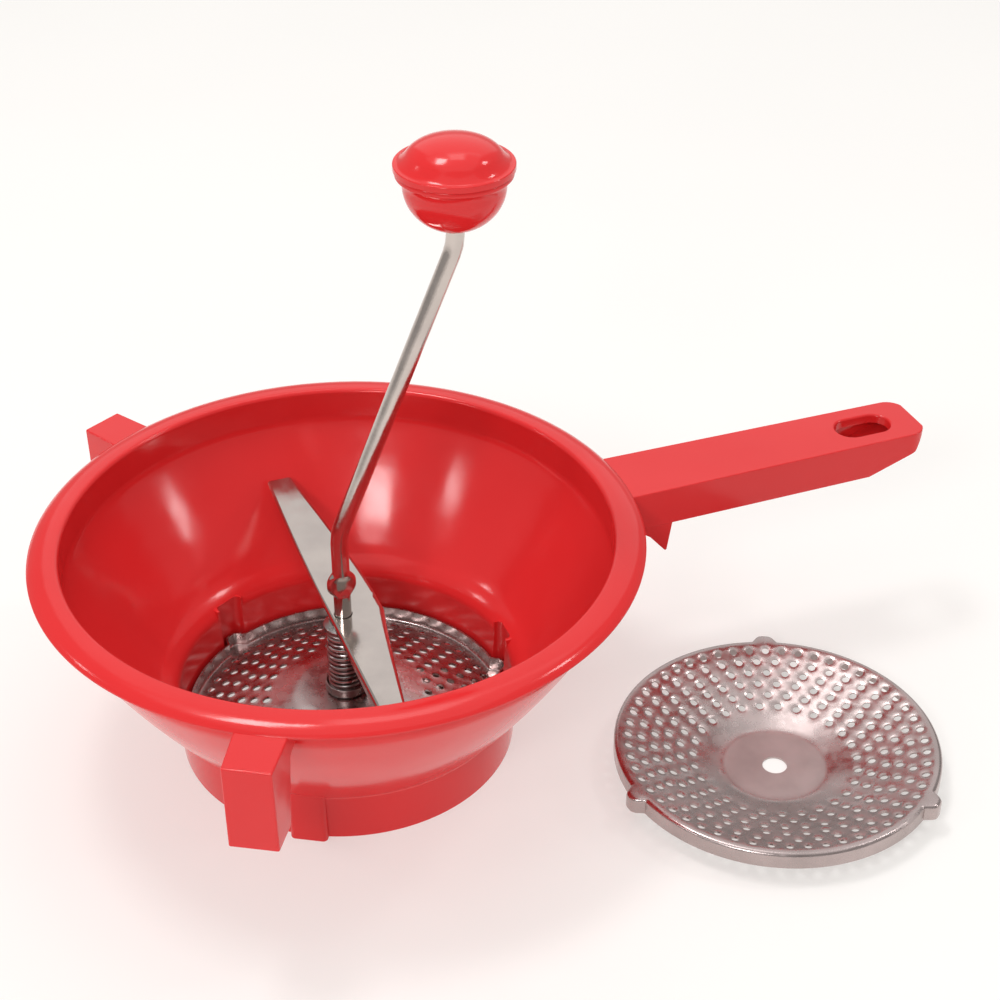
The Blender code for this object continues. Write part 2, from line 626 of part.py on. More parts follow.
def rod_path():
    """Points and radius shares of the rod: head, neck, shaft, slanted arm and the pin inside the knob."""
    lean = math.atan2(ROD_REACH, ROD_TURN_HEIGHT - ROD_BEND_HEIGHT)
    tangent = ROD_BEND_RADIUS * math.tan(0.5 * lean)
    down = Vector((0.0, 0.0, -tangent))
    along = Vector((math.sin(lean), 0.0, math.cos(lean))) * tangent
    lower = Vector((0.0, 0.0, ROD_BEND_HEIGHT))
    upper = Vector((ROD_REACH, 0.0, ROD_TURN_HEIGHT))
    neck_share = ROD_NECK_RADIUS / ROD_RADIUS
    head_top = ROD_HEAD_FOOT + ROD_HEAD_HEIGHT
    step = 0.5 * GAP
    heights = [ROD_HEAD_FOOT, head_top, head_top + step, ROD_NECK_TOP, ROD_NECK_TOP + step]
    shares = [1.0, 1.0, neck_share, neck_share, 1.0]
    ear_low = ROD_EAR_HEIGHT - 0.5 * ROD_EAR_LENGTH
    ear_high = ROD_EAR_HEIGHT + 0.5 * ROD_EAR_LENGTH
    margin = ROD_EAR_MARGIN_SHARE * ROD_EAR_LENGTH
    for height in (ear_low - margin, ear_low, ROD_EAR_HEIGHT, ear_high, ear_high + margin):
        heights.append(height)
        shares.append(1.0)
    path = [Vector((0.0, 0.0, height)) for height in heights]
    bends = [Vector(p) for p in bend(lower + down, lower, lower + along, 5)]
    bends += [Vector(p) for p in bend(upper - along, upper, upper - down, 5)]
    bends.append(Vector((ROD_REACH, 0.0, ROD_TOP)))
    return path + bends, shares + [1.0] * len(bends)


def make_rod(parts, finish):
    """The bent crank rod, pinched flat above the blade so that two small ears stand out."""
    path, shares = rod_path()
    rod = rod_mesh("crank_rod", path, shares, ROD_RADIUS, ROD_SIDES_RESOLUTION, parts, finish)
    half = 0.5 * ROD_EAR_LENGTH + MERGE
    for vertex in rod.data.vertices:
        if abs(vertex.co.z - ROD_EAR_HEIGHT) <= half:
            vertex.co.x *= 0.5 * ROD_EAR_WIDTH / ROD_RADIUS
            vertex.co.y *= 0.5 * ROD_EAR_THICKNESS / ROD_RADIUS
    shade_smooth(rod.data)
    return rod


def blade_edges(s):
    """Lateral places of the leading and trailing edges at the distance s along the blade, far side positive."""
    if s >= 0.0:
        share = s / BLADE_FAR_REACH
        narrowing = (BLADE_BROAD + BLADE_LEAD - BLADE_TIP_WIDTH) * share ** BLADE_FAR_CURVE
    else:
        share = -s / BLADE_NEAR_REACH
        narrowing = (BLADE_BROAD - BLADE_NEAR_TRAIL) * share ** BLADE_NEAR_CURVE
    return -BLADE_LEAD, BLADE_BROAD - narrowing


def lip_depth(s):
    """Depth of the lip folded down along the leading edge: it grows from LIP_START towards the near tip."""
    share = (LIP_START - s) / (LIP_START + LIP_END_SHARE * BLADE_NEAR_REACH)
    return BLADE_EDGE_DROP + (BLADE_LIP - BLADE_EDGE_DROP) * min(1.0, max(0.0, share))


def collar_top():
    """The collar under the blade bears on the folded lip."""
    return BLADE_HEIGHT - 0.5 * BLADE_SHEET - lip_depth(-COLLAR_RADIUS) - GAP


def spring_head():
    return collar_top() - COLLAR_HEIGHT - GAP - SPRING_WIRE


def wing_foot(radius):
    """Least height of the wing's lower edge at this radius, clear of disc and bowl when it is pressed down."""
    clear = disc_surface(radius) + WING_CLEARANCE
    reach = radius + WALL_CLEARANCE
    if reach > SKIRT_TOP_RADIUS - BOWL_WALL:
        clear = max(clear, FUNNEL_FOOT_HEIGHT + GAP, funnel_height(reach) + GAP)
    return clear + PRESS_TRAVEL


def blade_section(s):
    """Points across the blade at s: down the leading lip, across the face and down the wing."""
    lead, trail = blade_edges(s)
    far_share = max(0.0, s) / BLADE_FAR_REACH
    tip_share = max(far_share, -s / BLADE_NEAR_REACH)
    height = BLADE_HEIGHT - 0.5 * BLADE_SHEET + BLADE_TIP_RISE * far_share ** 2
    rounding = BLADE_EDGE_ROUND * (1.0 - tip_share * (1.0 - BLADE_TIP_ROUND_SHARE))
    foot = height - rounding - BLADE_EDGE_DROP
    if s <= WING_START:
        foot = min(foot, wing_foot(math.hypot(s, trail + WING_SLANT)))
    slant = WING_SLANT * (height - foot) / BLADE_HEIGHT
    points = [(lead, height - lip_depth(s)), (lead, height)]
    points += [(lead + (trail - rounding - lead) * share, height) for share in BLADE_FACE_SHARES]
    points += bend((trail - rounding, height), (trail, height), (trail, height - rounding), 3)
    points += [(trail + slant, foot)]
    return points


def make_blade(parts, cutters, finish):
    """The blade: a loft along its length, thickened, with the hole for the rod."""
    stations = [-BLADE_NEAR_REACH * share for share in BLADE_NEAR_SHARES]
    stations += [WING_START, WING_START + BLADE_SHEET]
    stations += [BLADE_FAR_REACH * share for share in BLADE_FAR_SHARES]
    edit = bmesh.new()
    rows = []
    for s in stations:
        rows.append([edit.verts.new((x, s, z)) for x, z in blade_section(s)])
    for row, after in zip(rows, rows[1:]):
        for index in range(len(row) - 1):
            edit.faces.new((row[index], row[index + 1], after[index + 1], after[index]))
    bmesh.ops.recalc_face_normals(edit, faces=edit.faces)
    mesh = bpy.data.meshes.new("blade")
    edit.to_mesh(mesh)
    edit.free()
    shade_smooth(mesh)
    blade = add_object("blade", mesh, parts, finish)
    solid = blade.modifiers.new("sheet", "SOLIDIFY")
    solid.thickness = BLADE_SHEET
    solid.offset = 0.0
    solid.use_even_offset = True
    low = BLADE_HEIGHT - BLADE_SHEET - OVERRUN
    hole = plate("blade_bore", arc((0.0, 0.0), BORE_RADIUS, 0.0, FULL_TURN, SMALL_STEPS)[:-1], low,
                 BLADE_HEIGHT + OVERRUN, cutters)
    join_or_cut(blade, hole, "DIFFERENCE")
    return blade


def make_spring(parts, finish):
    """The compression spring, with its end turns drawn closer together."""
    steps = SPRING_TURNS * SPRING_POINTS_PER_TURN
    path = []
    for step in range(steps + 1):
        angle = FULL_TURN * step / SPRING_POINTS_PER_TURN
        height = SPRING_FOOT + (spring_head() - SPRING_FOOT) * step / steps
        path.append(Vector((SPRING_RADIUS * math.cos(angle), SPRING_RADIUS * math.sin(angle), height)))
    pitch = (spring_head() - SPRING_FOOT) / SPRING_TURNS
    print("spring: least gap between its turns, in metres:", round(pitch - 2.0 * SPRING_WIRE, 5))
    spring = rod_mesh("spring", path, [1.0] * len(path), SPRING_WIRE, 1, parts, finish)
    shade_smooth(spring.data)
    return spring


def make_spring_seats(parts, finish):
    """The cup that stands in the disc's hole, and the collar under the blade."""
    rim = CUP_FOOT + CUP_HEIGHT
    floor = CUP_FOOT + CUP_WALL
    neck_foot = DISC_TOP - DISC_SHEET - CUP_WALL
    cup = [(CUP_RADIUS, rim), (CUP_RADIUS, CUP_FOOT), (CUP_NECK_RADIUS, CUP_FOOT), (CUP_NECK_RADIUS, neck_foot)]
    cup += [(BORE_RADIUS, neck_foot), (BORE_RADIUS, floor), (CUP_RADIUS - CUP_WALL, floor)]
    cup += [(CUP_RADIUS - CUP_WALL, rim)]
    turned("spring_cup", cup, parts, finish)
    top = collar_top()
    foot = top - COLLAR_HEIGHT
    inner = SPRING_RADIUS - SPRING_WIRE - GAP
    collar = [(inner, top), (COLLAR_RADIUS, top - 0.5 * COLLAR_HEIGHT), (COLLAR_RADIUS, foot)]
    collar += [(BORE_RADIUS, foot), (BORE_RADIUS, top)]
    turned("spring_collar", collar, parts, finish)


def make_lock_bar(parts, cutters, finish):
    """A joggled strip, high in the middle and low at its ends, with a keyhole for the rod's neck and head."""
    low = BAR_END_TOP - BAR_SHEET
    foot_start = BAR_HALF_LENGTH - BAR_FOOT_LENGTH
    ramp_start = foot_start - BAR_RAMP_LENGTH
    under = [(0.0, BAR_MIDDLE_FOOT), (ramp_start, BAR_MIDDLE_FOOT), (foot_start, low), (BAR_HALF_LENGTH, low)]
    joggle = BAR_JOGGLE_SHARE * BAR_SHEET
    over = [(x + joggle if 0.0 < x < BAR_HALF_LENGTH else x, z + BAR_SHEET) for x, z in under]
    half = under + list(reversed(over))
    outline = half[1:-1] + [(-x, z) for x, z in reversed(half[1:-1])]
    bar = plate("lock_bar", outline, -0.5 * BAR_WIDTH, 0.5 * BAR_WIDTH, parts, finish, upright=True)
    for vertex in bar.data.vertices:
        if abs(vertex.co.x) > foot_start:
            vertex.co.y *= BAR_END_WIDTH / BAR_WIDTH
    neck = ROD_NECK_RADIUS + GAP
    meet = math.acos(neck / BORE_RADIUS)
    outline = arc((0.0, 0.0), neck, math.pi, FULL_TURN, 8)
    outline += arc((0.0, BAR_KEY_OFFSET), BORE_RADIUS, -meet, math.pi + meet, 14)
    top = BAR_MIDDLE_FOOT + BAR_SHEET + OVERRUN
    keyhole = plate("keyhole", outline, BAR_MIDDLE_FOOT - OVERRUN, top, cutters)
    join_or_cut(bar, keyhole, "DIFFERENCE")
    return bar


def make_knob(parts, finish, steel):
    """The cup that turns on the rod's pin, the push nut above its sleeve, and the cap."""
    lip_foot = KNOB_BAND + KNOB_SHOULDER_HEIGHT
    edge = KNOB_EDGE_SHARE * KNOB_LIP_HEIGHT
    outer = [(KNOB_LIP_RADIUS, KNOB_PLANE), (KNOB_LIP_RADIUS, lip_foot + edge)]
    outer += [(KNOB_LIP_RADIUS - edge, lip_foot)]
    outer += arc((0.0, KNOB_BAND), KNOB_CUP_RADIUS, 0.0, -math.acos(KNOB_FOOT_RADIUS / KNOB_CUP_RADIUS), 8,
                 KNOB_CUP_DEPTH / KNOB_CUP_RADIUS)
    inner_reach = KNOB_CUP_RADIUS - KNOB_WALL
    inner = arc((0.0, KNOB_BAND), inner_reach, -math.acos(KNOB_SLEEVE_RADIUS / inner_reach), 0.0, 6,
                (KNOB_CUP_DEPTH - KNOB_WALL) / inner_reach)
    cup = outer + [(BORE_RADIUS, KNOB_FOOT), (BORE_RADIUS, SLEEVE_TOP), (KNOB_SLEEVE_RADIUS, SLEEVE_TOP)]
    cup += inner + [(KNOB_CUP_RADIUS - KNOB_WALL, KNOB_PLANE)]
    made = [turned("knob_cup", cup, parts, finish, KNOB_STEPS)]
    nut_foot = SLEEVE_TOP + GAP
    nut = [(NUT_RADIUS, nut_foot + NUT_THICKNESS), (NUT_RADIUS, nut_foot)]
    nut += [(BORE_RADIUS, nut_foot), (BORE_RADIUS, nut_foot + NUT_THICKNESS)]
    made.append(turned("knob_push_nut", nut, parts, steel))
    foot = KNOB_PLANE + GAP
    shelf = foot + KNOB_FLANGE_HEIGHT
    crown = shelf + KNOB_DOME_HEIGHT
    edge = KNOB_EDGE_SHARE * KNOB_FLANGE_HEIGHT
    stretch = KNOB_DOME_HEIGHT / KNOB_DOME_RADIUS
    cap = arc((0.0, shelf), KNOB_DOME_RADIUS, math.pi / 2.0, 0.0, 7, stretch)
    cap[0] = (0.0, crown)
    cap += [(KNOB_FLANGE_RADIUS - edge, shelf), (KNOB_FLANGE_RADIUS, shelf - edge)]
    cap += [(KNOB_FLANGE_RADIUS, foot + edge), (KNOB_FLANGE_RADIUS - edge, foot)]
    plug = KNOB_CUP_RADIUS - KNOB_WALL - GAP
    cap += [(plug, foot), (plug, foot - KNOB_PLUG_DEPTH), (plug - KNOB_WALL, foot - KNOB_PLUG_DEPTH)]
    inner_stretch = (KNOB_DOME_HEIGHT - KNOB_WALL) / (plug - KNOB_WALL)
    cap += arc((0.0, shelf), plug - KNOB_WALL, 0.0, math.pi / 2.0, 6, inner_stretch)
    cap[-1] = (0.0, crown - KNOB_WALL)
    made.append(turned("knob_cap", cap, parts, finish, KNOB_STEPS, closed=False))
    return made


def main():
    clear_scene()
    parts = new_collection("food_mill")
    cutters = new_collection("cutters")
    red = material("red_moulding", (0.75, 0.05, 0.045), 0.18, 0.0)
    steel = material("polished_steel", (0.62, 0.58, 0.56), 0.22, 1.0)
    dark_steel = material("spring_steel", (0.35, 0.33, 0.32), 0.35, 1.0)
    mill = bpy.data.objects.new("mill_axis", None)
    parts.objects.link(mill)
    mill.location = (AXIS_X, AXIS_Y, 0.0)
    knob_axis = bpy.data.objects.new("knob_axis", None)
    parts.objects.link(knob_axis)
    knob_axis.parent = mill
    knob_axis.location = (ROD_REACH, 0.0, 0.0)

    make_bowl(parts, cutters, red)
    sieve = make_disc_mesh(cutters)
    seated = add_object("sieve_disc", sieve, parts, steel)
    seated.location = (0.0, 0.0, DISC_SEAT)
    make_rod(parts, steel)
    make_blade(parts, cutters, steel)
    make_spring(parts, steel)
    make_spring_seats(parts, dark_steel)
    make_lock_bar(parts, cutters, steel)
    knob = make_knob(parts, red, steel)
    for obj in knob:
        obj.parent = knob_axis
    for obj in list(parts.objects) + list(cutters.objects):
        if obj.parent is None and obj is not mill:
            obj.parent = mill

    spare = add_object("spare_disc", sieve, parts)
    spare.parent = mill
    spare.rotation_euler = (math.pi, 0.0, SPARE_TURN)
    spare.location = (SPARE_X, SPARE_Y, DISC_RISE + DISC_SHEET)


main()
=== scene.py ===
"""The looks of a hand-cranked food mill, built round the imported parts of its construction.

Units are metres and Z points up. Each piece is made in the mill's own frame, with the crank's axis through
the origin and the handle along +X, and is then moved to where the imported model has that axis.
"""

import json
import math

import bmesh
import bpy
from mathutils import Matrix, Vector
from mathutils.geometry import delaunay_2d_cdt
from mathutils.kdtree import KDTree


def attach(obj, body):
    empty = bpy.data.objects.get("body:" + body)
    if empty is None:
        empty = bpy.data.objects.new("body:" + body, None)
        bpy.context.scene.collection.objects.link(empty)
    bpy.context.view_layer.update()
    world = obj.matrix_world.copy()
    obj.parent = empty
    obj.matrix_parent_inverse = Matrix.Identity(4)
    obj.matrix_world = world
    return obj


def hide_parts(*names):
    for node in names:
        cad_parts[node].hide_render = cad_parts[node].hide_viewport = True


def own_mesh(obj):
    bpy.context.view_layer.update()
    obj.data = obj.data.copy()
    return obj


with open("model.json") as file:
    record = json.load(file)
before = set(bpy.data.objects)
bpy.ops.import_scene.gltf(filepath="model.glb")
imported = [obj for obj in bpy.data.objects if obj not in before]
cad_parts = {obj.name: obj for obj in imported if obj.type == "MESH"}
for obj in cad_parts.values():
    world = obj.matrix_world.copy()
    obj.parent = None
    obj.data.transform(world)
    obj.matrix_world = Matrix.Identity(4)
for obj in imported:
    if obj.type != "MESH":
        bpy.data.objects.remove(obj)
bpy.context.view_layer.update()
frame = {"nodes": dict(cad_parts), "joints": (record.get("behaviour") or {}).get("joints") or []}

FULL_TURN = 2.0 * math.pi
MERGE = 0.00001
GAP = 0.0003
OVERRUN = 0.004
ARC_STEP = math.radians(12.0)
CORNER_SHARE = 0.49  # the most of a side that the arc of one corner may take
BEVEL_ANGLE = math.radians(40.0)
SMOOTH_ANGLE = math.radians(35.0)
NORMAL_WEIGHT = 80

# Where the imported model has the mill's axis and the knob's axis
joints = {joint["name"]: joint for joint in frame["joints"]}
AXIS = Vector((*joints["crank_turn"]["pos_m"][:2], 0.0))
KNOB_AXIS = Vector((*joints["knob_spin"]["pos_m"][:2], 0.0))

# Bowl
RIM_RADIUS = 0.1200
RIM_HEIGHT = 0.0950
RIM_FLANGE = 0.0124
RIM_CROWN = 0.0028  # how far the rim's crown stands above RIM_HEIGHT
RIM_FALL = 0.0034  # from the crown down to where the outer edge is upright
RIM_EDGE = 0.0010
RIM_EDGE_SHARE = 0.6
RIM_STEPS = 10
RIM_SHOULDER = 0.0025
RIM_INNER_CORNER = 0.0022
BOWL_WALL = 0.0024
FUNNEL_FOOT_RADIUS = 0.0755
FUNNEL_FOOT_HEIGHT = 0.0300
FUNNEL_SLOPE = 0.66
FUNNEL_KNEE_RADIUS = 0.0240
FUNNEL_BULGE = 0.0018
FUNNEL_BLEND = 0.0040
FUNNEL_STEPS = 14
BLEND_STEPS = 8
SKIRT_TOP_RADIUS = 0.0700
SKIRT_FOOT_RADIUS = 0.0684
LEDGE_TOP = 0.0054
LEDGE_THICKNESS = 0.0014
LEDGE_RADIUS = 0.0615
SMALL_FILLET = 0.0006
BOWL_STEPS = 240

# Pockets for the ears of the disc
POCKET_WIDTH = 0.0124
POCKET_WALL = 0.0012
EAR_REACH = 0.0040
EAR_COUNT = 3

# Handle
HANDLE_END = 0.2575
HANDLE_ROOT_WIDTH = 0.0314
HANDLE_END_WIDTH = 0.0284
HANDLE_DEPTH = 0.0176
HANDLE_WALL = 0.0024
HANDLE_CORNER = 0.0080
HANDLE_BEVEL = 0.0013
HANDLE_STEP = 0.0007  # how much lower its top lies than the rim's
HANDLE_KNEE = 0.0275
HANDLE_CHIN = 0.0055
HANDLE_CHIN_DEPTH = 0.0100
HANG_HOLE_LENGTH = 0.0250
HANG_HOLE_WIDTH = 0.0140
HANG_HOLE_INSET = 0.0120
HANG_HOLE_FLARE = 0.0010
HANG_HOLE_STEPS = 16
FLARE_STEPS = 6
HANG_BOSS_DEPTH = 0.0040
TOOTH_LENGTH = 0.0140
TOOTH_TIP_INSET = 0.0025
TOOTH_NOTCH_RISE = 0.0090
TOOTH_WIDTH = 0.0102
TOOTH_OUTER = 0.1378

# Support lugs
LUG_OUTER = 0.1385
LUG_ROOT_WIDTH = 0.0200
LUG_TIP_WIDTH = 0.0180
LUG_DEPTH = 0.0370
LUG_DRAFT = 0.0010
LUG_CHEEK = 0.0140
LUG_WALL = 0.0024
LUG_BEVEL = 0.0007
LUG_LIP_DEPTH = 0.0090
LUG_TURNS = (FULL_TURN / 3.0, -FULL_TURN / 3.0)

# Sieve discs
DISC_RADIUS = 0.0655
DISC_SHEET = 0.0008
DISC_FLANGE_HEIGHT = 0.0067
DISC_RING_WIDTH = 0.0030
DISC_RISE = 0.0130
DISC_FLAT_RADIUS = 0.0215
DISC_FLAT_ROUNDING = 0.0015
DISC_HOLE_RADIUS = 0.0050
DISC_HOLE_SIDES = 48
DISC_COLUMNS = 396
DISC_SMOOTH_ANGLE = math.radians(40.0)
EAR_WIDTH = 0.0100
EAR_POINTEDNESS = 1.3  # the power that shapes an ear's outline
HOLE_RADIUS = 0.0016
HOLE_SIDES = 14
HOLE_ROWS = 6
HOLE_INSET_SHARE = 1.7  # of a hole's radius, from the dome's edge in to the first row
HOLE_INSIDE_SHARE = 0.97  # of a hole's radius, within which no face is made
HOLE_ROW_PITCH = 0.0053
HOLE_PITCH = 0.0078
HOLE_OUTER_COUNT = 54
BURR_REACH = 0.0010
BURR_HEIGHT = 0.0002
BURR_SHARES = (0.0, 0.25, 0.6, 1.0)
LATTICE_PITCH = 0.0021
LATTICE_MARGIN_SHARE = 0.3
SPARE_PLACE = Vector((0.1530, -0.0880, 0.0))
SPARE_TURN = math.radians(67.0)

# Crank rod
ROD_RADIUS = 0.0035
ROD_HEAD_FOOT = 0.0065
ROD_HEAD_HEIGHT = 0.0022
ROD_NECK_RADIUS = 0.0022
ROD_NECK_TOP = 0.0125
ROD_BEND_HEIGHT = 0.0955
ROD_REACH = 0.0500
ROD_TURN_HEIGHT = 0.2120
ROD_BEND_RADIUS = 0.0200
ROD_PIN_LENGTH = 0.0070
ROD_EAR_HEIGHT = 0.0720
ROD_EAR_LENGTH = 0.0080
ROD_EAR_WIDTH = 0.0120
ROD_EAR_THICKNESS = 0.0045
ROD_EAR_SPREAD_SHARE = 1.3  # of the ears' length, over which they swell and fade
ROD_EAR_FULLNESS = 3.0
ROD_EAR_TAPER = 1.2
ROD_EAR_STEPS = 24
ROD_SIDES = 40

# Blade
BLADE_HEIGHT = 0.0570
BLADE_SHEET = 0.0012
BLADE_FAR_REACH = 0.0920
BLADE_NEAR_REACH = 0.0840
BLADE_LEAD = 0.0048
BLADE_BROAD = 0.0165
BLADE_TIP_WIDTH = 0.0095
BLADE_NEAR_TRAIL = 0.0012
BLADE_FAR_CURVE = 1.7
BLADE_NEAR_CURVE = 0.9
BLADE_TIP_RISE = 0.0085
BLADE_LIP = 0.0038
LIP_START = 0.0200
LIP_FULL_SHARE = 0.6  # of the near reach, where the lip has its whole depth
LIP_BEND_SHARE = 0.8
LIP_POINTS = 9  # of the lip and its bend, up to the last step of the bend
BLADE_EDGE_DROP = 0.0010
BLADE_EDGE_ROUND = 0.0030
TIP_SHARPNESS_SHARE = 0.6
EDGE_STEPS = 8
WING_STEPS = 6
WING_START = 0.0080
WING_SLANT = 0.0040
WING_CLEARANCE = 0.0010
WALL_CLEARANCE = 0.0034
PRESS_TRAVEL = 0.0022
BLADE_STATIONS = 90
BLADE_BORE_SIDES = 48

# Spring, cup and collar
SPRING_RADIUS = 0.0068
SPRING_WIRE = 0.0007
SPRING_TURNS = 13
SPRING_STEPS = 32
SPRING_WIRE_DETAIL = 3
CUP_RADIUS = 0.0088
CUP_HEIGHT = 0.0042
CUP_WALL = 0.0009
CUP_NECK_RADIUS = 0.0046
COLLAR_RADIUS = 0.0082
COLLAR_HEIGHT = 0.0030
SEAT_EDGE_SHARE = 0.3

# Knob
KNOB_LIFT = 0.0240
KNOB_CUP_RADIUS = 0.0190
KNOB_CUP_DEPTH = 0.0173
KNOB_SHOULDER_HEIGHT = 0.0038
KNOB_LIP_RADIUS = 0.0216
KNOB_LIP_HEIGHT = 0.0019
KNOB_LIP_EDGE_SHARE = 0.3
KNOB_FOOT_RADIUS = 0.0062
KNOB_WALL = 0.0020
KNOB_FLANGE_RADIUS = 0.0222
KNOB_FLANGE_HEIGHT = 0.0026
KNOB_FLANGE_EDGE_SHARE = 0.35
KNOB_DOME_RADIUS = 0.0186
KNOB_DOME_HEIGHT = 0.0093
KNOB_FLARE = 0.0034
KNOB_SLEEVE_RADIUS = 0.0058
KNOB_SLEEVE_CLEARANCE = 0.0060
KNOB_PLUG_DEPTH = 0.0040
KNOB_EDGE_STEPS = 4
KNOB_BEND_STEPS = 8
KNOB_CUP_STEPS = 28
KNOB_CUP_INNER_STEPS = 12
KNOB_DOME_STEPS = 30
KNOB_DOME_INNER_STEPS = 16
NUT_RADIUS = 0.0065
NUT_THICKNESS = 0.0010
NUT_EDGE_SHARE = 0.2
NUT_SIDES = 48
TURNED_STEPS = 128

# Materials: noise is features for each metre and detail, and a layer of bump adds strength and depth
RAMP_PLACES = (0.3, 0.7)

# Red plastic
RED = (0.74, 0.025, 0.027)
RED_RANGE = ((0.72, 0.022, 0.024), (0.76, 0.028, 0.030))
RED_ROUGHNESS = 0.14
RED_ROUGHNESS_RANGE = (0.11, 0.17)
RED_REFRACTION = 1.42
RED_FLOW = (14.0, 3.0)
RED_GLOSS = (90.0, 4.0)
RED_WAVES = (45.0, 1.0, 0.25, 0.0012)
RED_SKIN = (1400.0, 2.0, 0.03, 0.0002)

# Steels: darker and lighter tint, roughness, scale of the grain and how it is stretched along each axis
POLISHED_STEEL = ((0.54, 0.48, 0.45), (0.62, 0.55, 0.51), 0.15, 900.0, (1.0, 0.1, 1.0))
SIEVE_STEEL = ((0.42, 0.35, 0.34), (0.52, 0.43, 0.42), 0.27, 1200.0, (1.0, 1.0, 1.0))
DARK_STEEL = ((0.30, 0.28, 0.27), (0.40, 0.37, 0.36), 0.3, 1500.0, (1.0, 1.0, 1.0))
STEEL_GLOSS_SHARES = (0.75, 1.3)
STEEL_TINT = (60.0, 3.0)
STEEL_GLOSS = (220.0, 4.0)
STEEL_DENTS = (70.0, 1.0, 0.3, 0.0006)
GRAIN_DETAIL = 3.0
GRAIN_STRENGTH = 0.08
GRAIN_DEPTH = 0.0002
SATIN_ROUGHNESS = 0.42
SATIN_FADE_SHARE = 1.5

# Floor and surrounding
FLOOR_REACH = 40.0
FLOOR_DROP = 0.0001
FLOOR_COLOUR = (0.5, 0.49, 0.475)
FLOOR_RANGE = ((0.49, 0.482, 0.468), (0.51, 0.5, 0.485))
FLOOR_MOTTLE = (3.0, 2.0)
FLOOR_ROUGHNESS = 0.9
FLOOR_GLOW = (1.0, 0.972, 0.944, 1.0)
FLOOR_GLOW_STRENGTH = 0.49
WORLD_COLOUR = (1.0, 0.985, 0.965, 1.0)
WORLD_STRENGTH = 0.4

# Lights: name, place, the point it aims at, width and height in metres, and power in watts
MILL_MIDDLE = AXIS + Vector((0.0, 0.0, 0.05))
LIGHTS = (
    ("overhead", (0.0, 0.0, 2.2), MILL_MIDDLE, 2.4, 2.4, 9.0),
    ("back_soft", (0.75, 1.90, 1.75), MILL_MIDDLE, 2.8, 2.2, 10.5),
    ("spare_top", (0.20, 0.43, 1.55), AXIS + SPARE_PLACE, 0.4, 0.4, 1.1),
    ("window", (-0.80, -0.95, 0.95), MILL_MIDDLE, 0.35, 0.25, 5.5),
    ("top", (-0.37, 0.35, 1.67), MILL_MIDDLE, 0.45, 0.3, 7.0),
    ("right", (1.02, -0.06, 1.33), MILL_MIDDLE, 0.2, 0.2, 1.9),
    ("left_low", (-1.29, -0.30, 0.72), MILL_MIDDLE, 0.15, 0.15, 0.9),
    ("left_back", (-1.20, 0.66, 0.92), MILL_MIDDLE, 0.15, 0.15, 0.9),
    ("right_low", (1.14, -0.57, 0.57), MILL_MIDDLE, 0.15, 0.15, 0.9),
)

# Camera, which stands where the photograph was taken from; its lens and sensor are in millimetres
CAMERA_PLACE = (-0.23505, -0.59437, 0.531)
CAMERA_HEADING = math.radians(69.0)
CAMERA_PITCH = math.radians(-33.72)
CAMERA_LENS = 70.45
CAMERA_SENSOR = 36.0

# Places that follow from the sizes above
SKIRT_DRAFT = (SKIRT_TOP_RADIUS - SKIRT_FOOT_RADIUS) / (FUNNEL_FOOT_HEIGHT - BOWL_WALL)
POCKET_RADIUS = DISC_RADIUS + EAR_REACH + 2.0 * GAP
HANDLE_FOOT = RIM_HEIGHT - HANDLE_DEPTH
HANDLE_TOP = RIM_HEIGHT - HANDLE_STEP
DISC_SEAT = LEDGE_TOP + GAP
DISC_TOP = DISC_SEAT + DISC_RISE + DISC_SHEET
DISC_CONE_RADIUS = DISC_RADIUS - DISC_RING_WIDTH
BORE_RADIUS = ROD_RADIUS + GAP
CUP_FOOT = DISC_TOP + GAP
SPRING_FOOT = CUP_FOOT + CUP_WALL + GAP + SPRING_WIRE
KNOB_BAND = ROD_TURN_HEIGHT + KNOB_LIFT
KNOB_FOOT = KNOB_BAND - KNOB_CUP_DEPTH * math.sin(math.acos(KNOB_FOOT_RADIUS / KNOB_CUP_RADIUS))
KNOB_PLANE = KNOB_BAND + KNOB_SHOULDER_HEIGHT + KNOB_LIP_HEIGHT
SLEEVE_TOP = KNOB_PLANE - KNOB_SLEEVE_CLEARANCE
ROD_TOP = SLEEVE_TOP + ROD_PIN_LENGTH
KNOB_INNER_RADIUS = KNOB_CUP_RADIUS - KNOB_WALL
INNER_FOOT_RADIUS = FUNNEL_FOOT_RADIUS - BOWL_WALL * math.hypot(1.0, FUNNEL_SLOPE)
INNER_TOP_RADIUS = RIM_RADIUS - RIM_FLANGE
OUTER_TOP_RADIUS = INNER_TOP_RADIUS + BOWL_WALL


def add_object(name, data):
    obj = bpy.data.objects.new(name, data)
    bpy.context.scene.collection.objects.link(obj)
    return obj


def object_from_bmesh(name, edit):
    mesh = bpy.data.meshes.new(name)
    bmesh.ops.recalc_face_normals(edit, faces=edit.faces)
    edit.to_mesh(mesh)
    edit.free()
    return add_object(name, mesh)


def bake(obj):
    """Replaces the object's mesh by the one that its modifiers give."""
    bpy.context.view_layer.update()
    evaluated = obj.evaluated_get(bpy.context.evaluated_depsgraph_get())
    mesh = bpy.data.meshes.new_from_object(evaluated)
    obj.modifiers.clear()
    obj.data = mesh
    return obj


def bevelled(obj, width, segments=3):
    modifier = obj.modifiers.new("bevel", "BEVEL")
    modifier.width = width
    modifier.segments = segments
    modifier.limit_method = "ANGLE"
    modifier.angle_limit = BEVEL_ANGLE
    return bake(obj)


